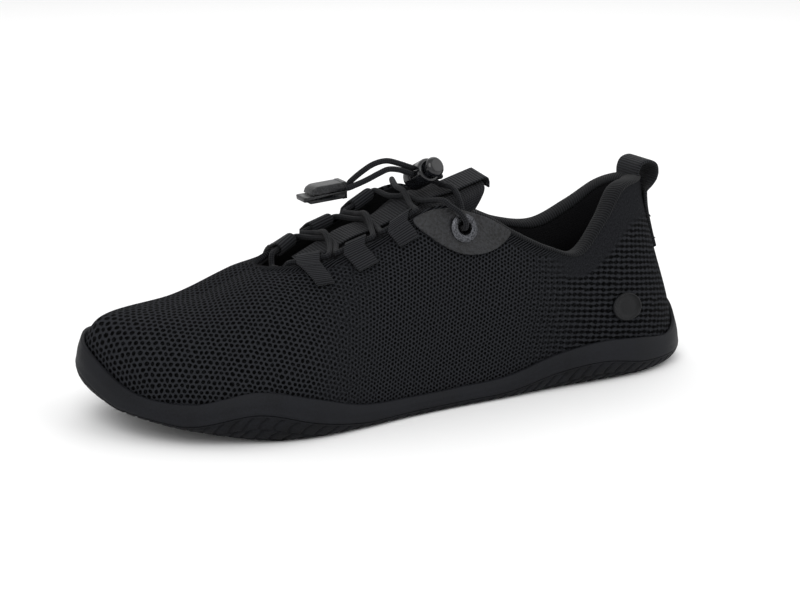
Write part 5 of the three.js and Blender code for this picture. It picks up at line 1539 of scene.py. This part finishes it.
def cordClip():
    length, half, seam = clip["length"], clip["height"] / 2, gap / 2
    lid = clipHalf("cord_end_cover", [(0, seam), (length - 3.5, seam), (length - 4.2, half - 1.4),
                                      (length - 6.5, half - 0.2), (2.2, half - 0.2), (2, half), (0, half)],
                   [0.15, 0.6, 1.0, 1.2, 0.2, 0.2, 0.5], "cord_end_lid")
    tray = clipHalf("cord_end_base", [(0, -half), (2, -half), (2.2, 0.2 - half), (length - 3, 0.2 - half),
                                      (length - 2, 1.2 - half), (length, 1.4 - half), (length, -seam - 0.4),
                                      (length - 0.6, -seam), (0, -seam)],
                    [0.5, 0.2, 0.2, 0.8, 0.6, 0.7, 0.3, 0.2, 0.15], "cord_end_tray")
    return lid, tray


cordLock()
clipPieces = cordClip()
for word, side in (("outer", 1), ("inner", -1)):
    start = -lock["diameter"] / 2 - 2
    straight = [inLock(x, side * spread, 0)
                for x in (start, start / 2, 0, 4, 8, lock["diameter"] / 2 + lock["slide"])]
    enter = [clipTop + clipWay * x + [0, side * spread, 0] for x in (-2.2, 1.5, clip["cordDepth"] - 0.4)]
    route = straight + [np.array(p) for p in tailPoints[word]] + enter
    piece, path, length = tubePiece(f"cord_tail_{word}", route, cord["diameter"], 120, 14, slot="cord",
                                    node=f"lace_tail_{word}", material=looks["braid"])
    closeNormals(piece)
    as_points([tuple(p * 0.001) for p in path[::3]] + [tuple(path[-1] * 0.001)])
    print("tail", word, round(length, 1))

# The board keeps its own solid, and takes its material here
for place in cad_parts["strobel_board"].material_slots:
    place.material = looks["board"]
print("cords, lock and clip made")

# Floor and light
studio = {"floor": "#f4f4f4", "floorSize": 6.0, "key": 9.0, "fill": 4.0, "sky": 0.9}


def floorAndLight():
    mesh = bpy.data.meshes.new("floor")
    half = studio["floorSize"] / 2
    mesh.from_pydata([(-half, -half, 0), (half, -half, 0), (half, half, 0), (-half, half, 0)], [],
                     [(0, 1, 2, 3)])
    plate = bpy.data.objects.new("floor", mesh)
    bpy.context.scene.collection.objects.link(plate)
    mesh.materials.append(newMaterial("paintedBoard", studio["floor"], 0.9)[0])  # matt white paint
    for name, place, power, size in (("key", (0.7, 0.9, 1.3), studio["key"], 1.0),
                                     ("fill", (-0.9, 0.7, 0.9), studio["fill"], 1.2),
                                     ("rim", (-0.4, -1.0, 1.1), studio["fill"], 1.0)):
        data = bpy.data.lights.new(name, "AREA")
        data.energy, data.size = power, size
        light = bpy.data.objects.new(name, data)
        bpy.context.scene.collection.objects.link(light)
        light.location = place
        light.rotation_euler = (Vector((0, 0, 0.04)) - light.location).to_track_quat("-Z", "Y").to_euler()
    world = bpy.data.worlds.new("softSky")
    bpy.context.scene.world = world
    world.use_nodes = True
    sky = world.node_tree.nodes["Background"]
    sky.inputs["Color"].default_value = (1, 1, 1, 1)
    sky.inputs["Strength"].default_value = studio["sky"]
    bpy.context.scene.view_settings.view_transform = "Standard"


floorAndLight()
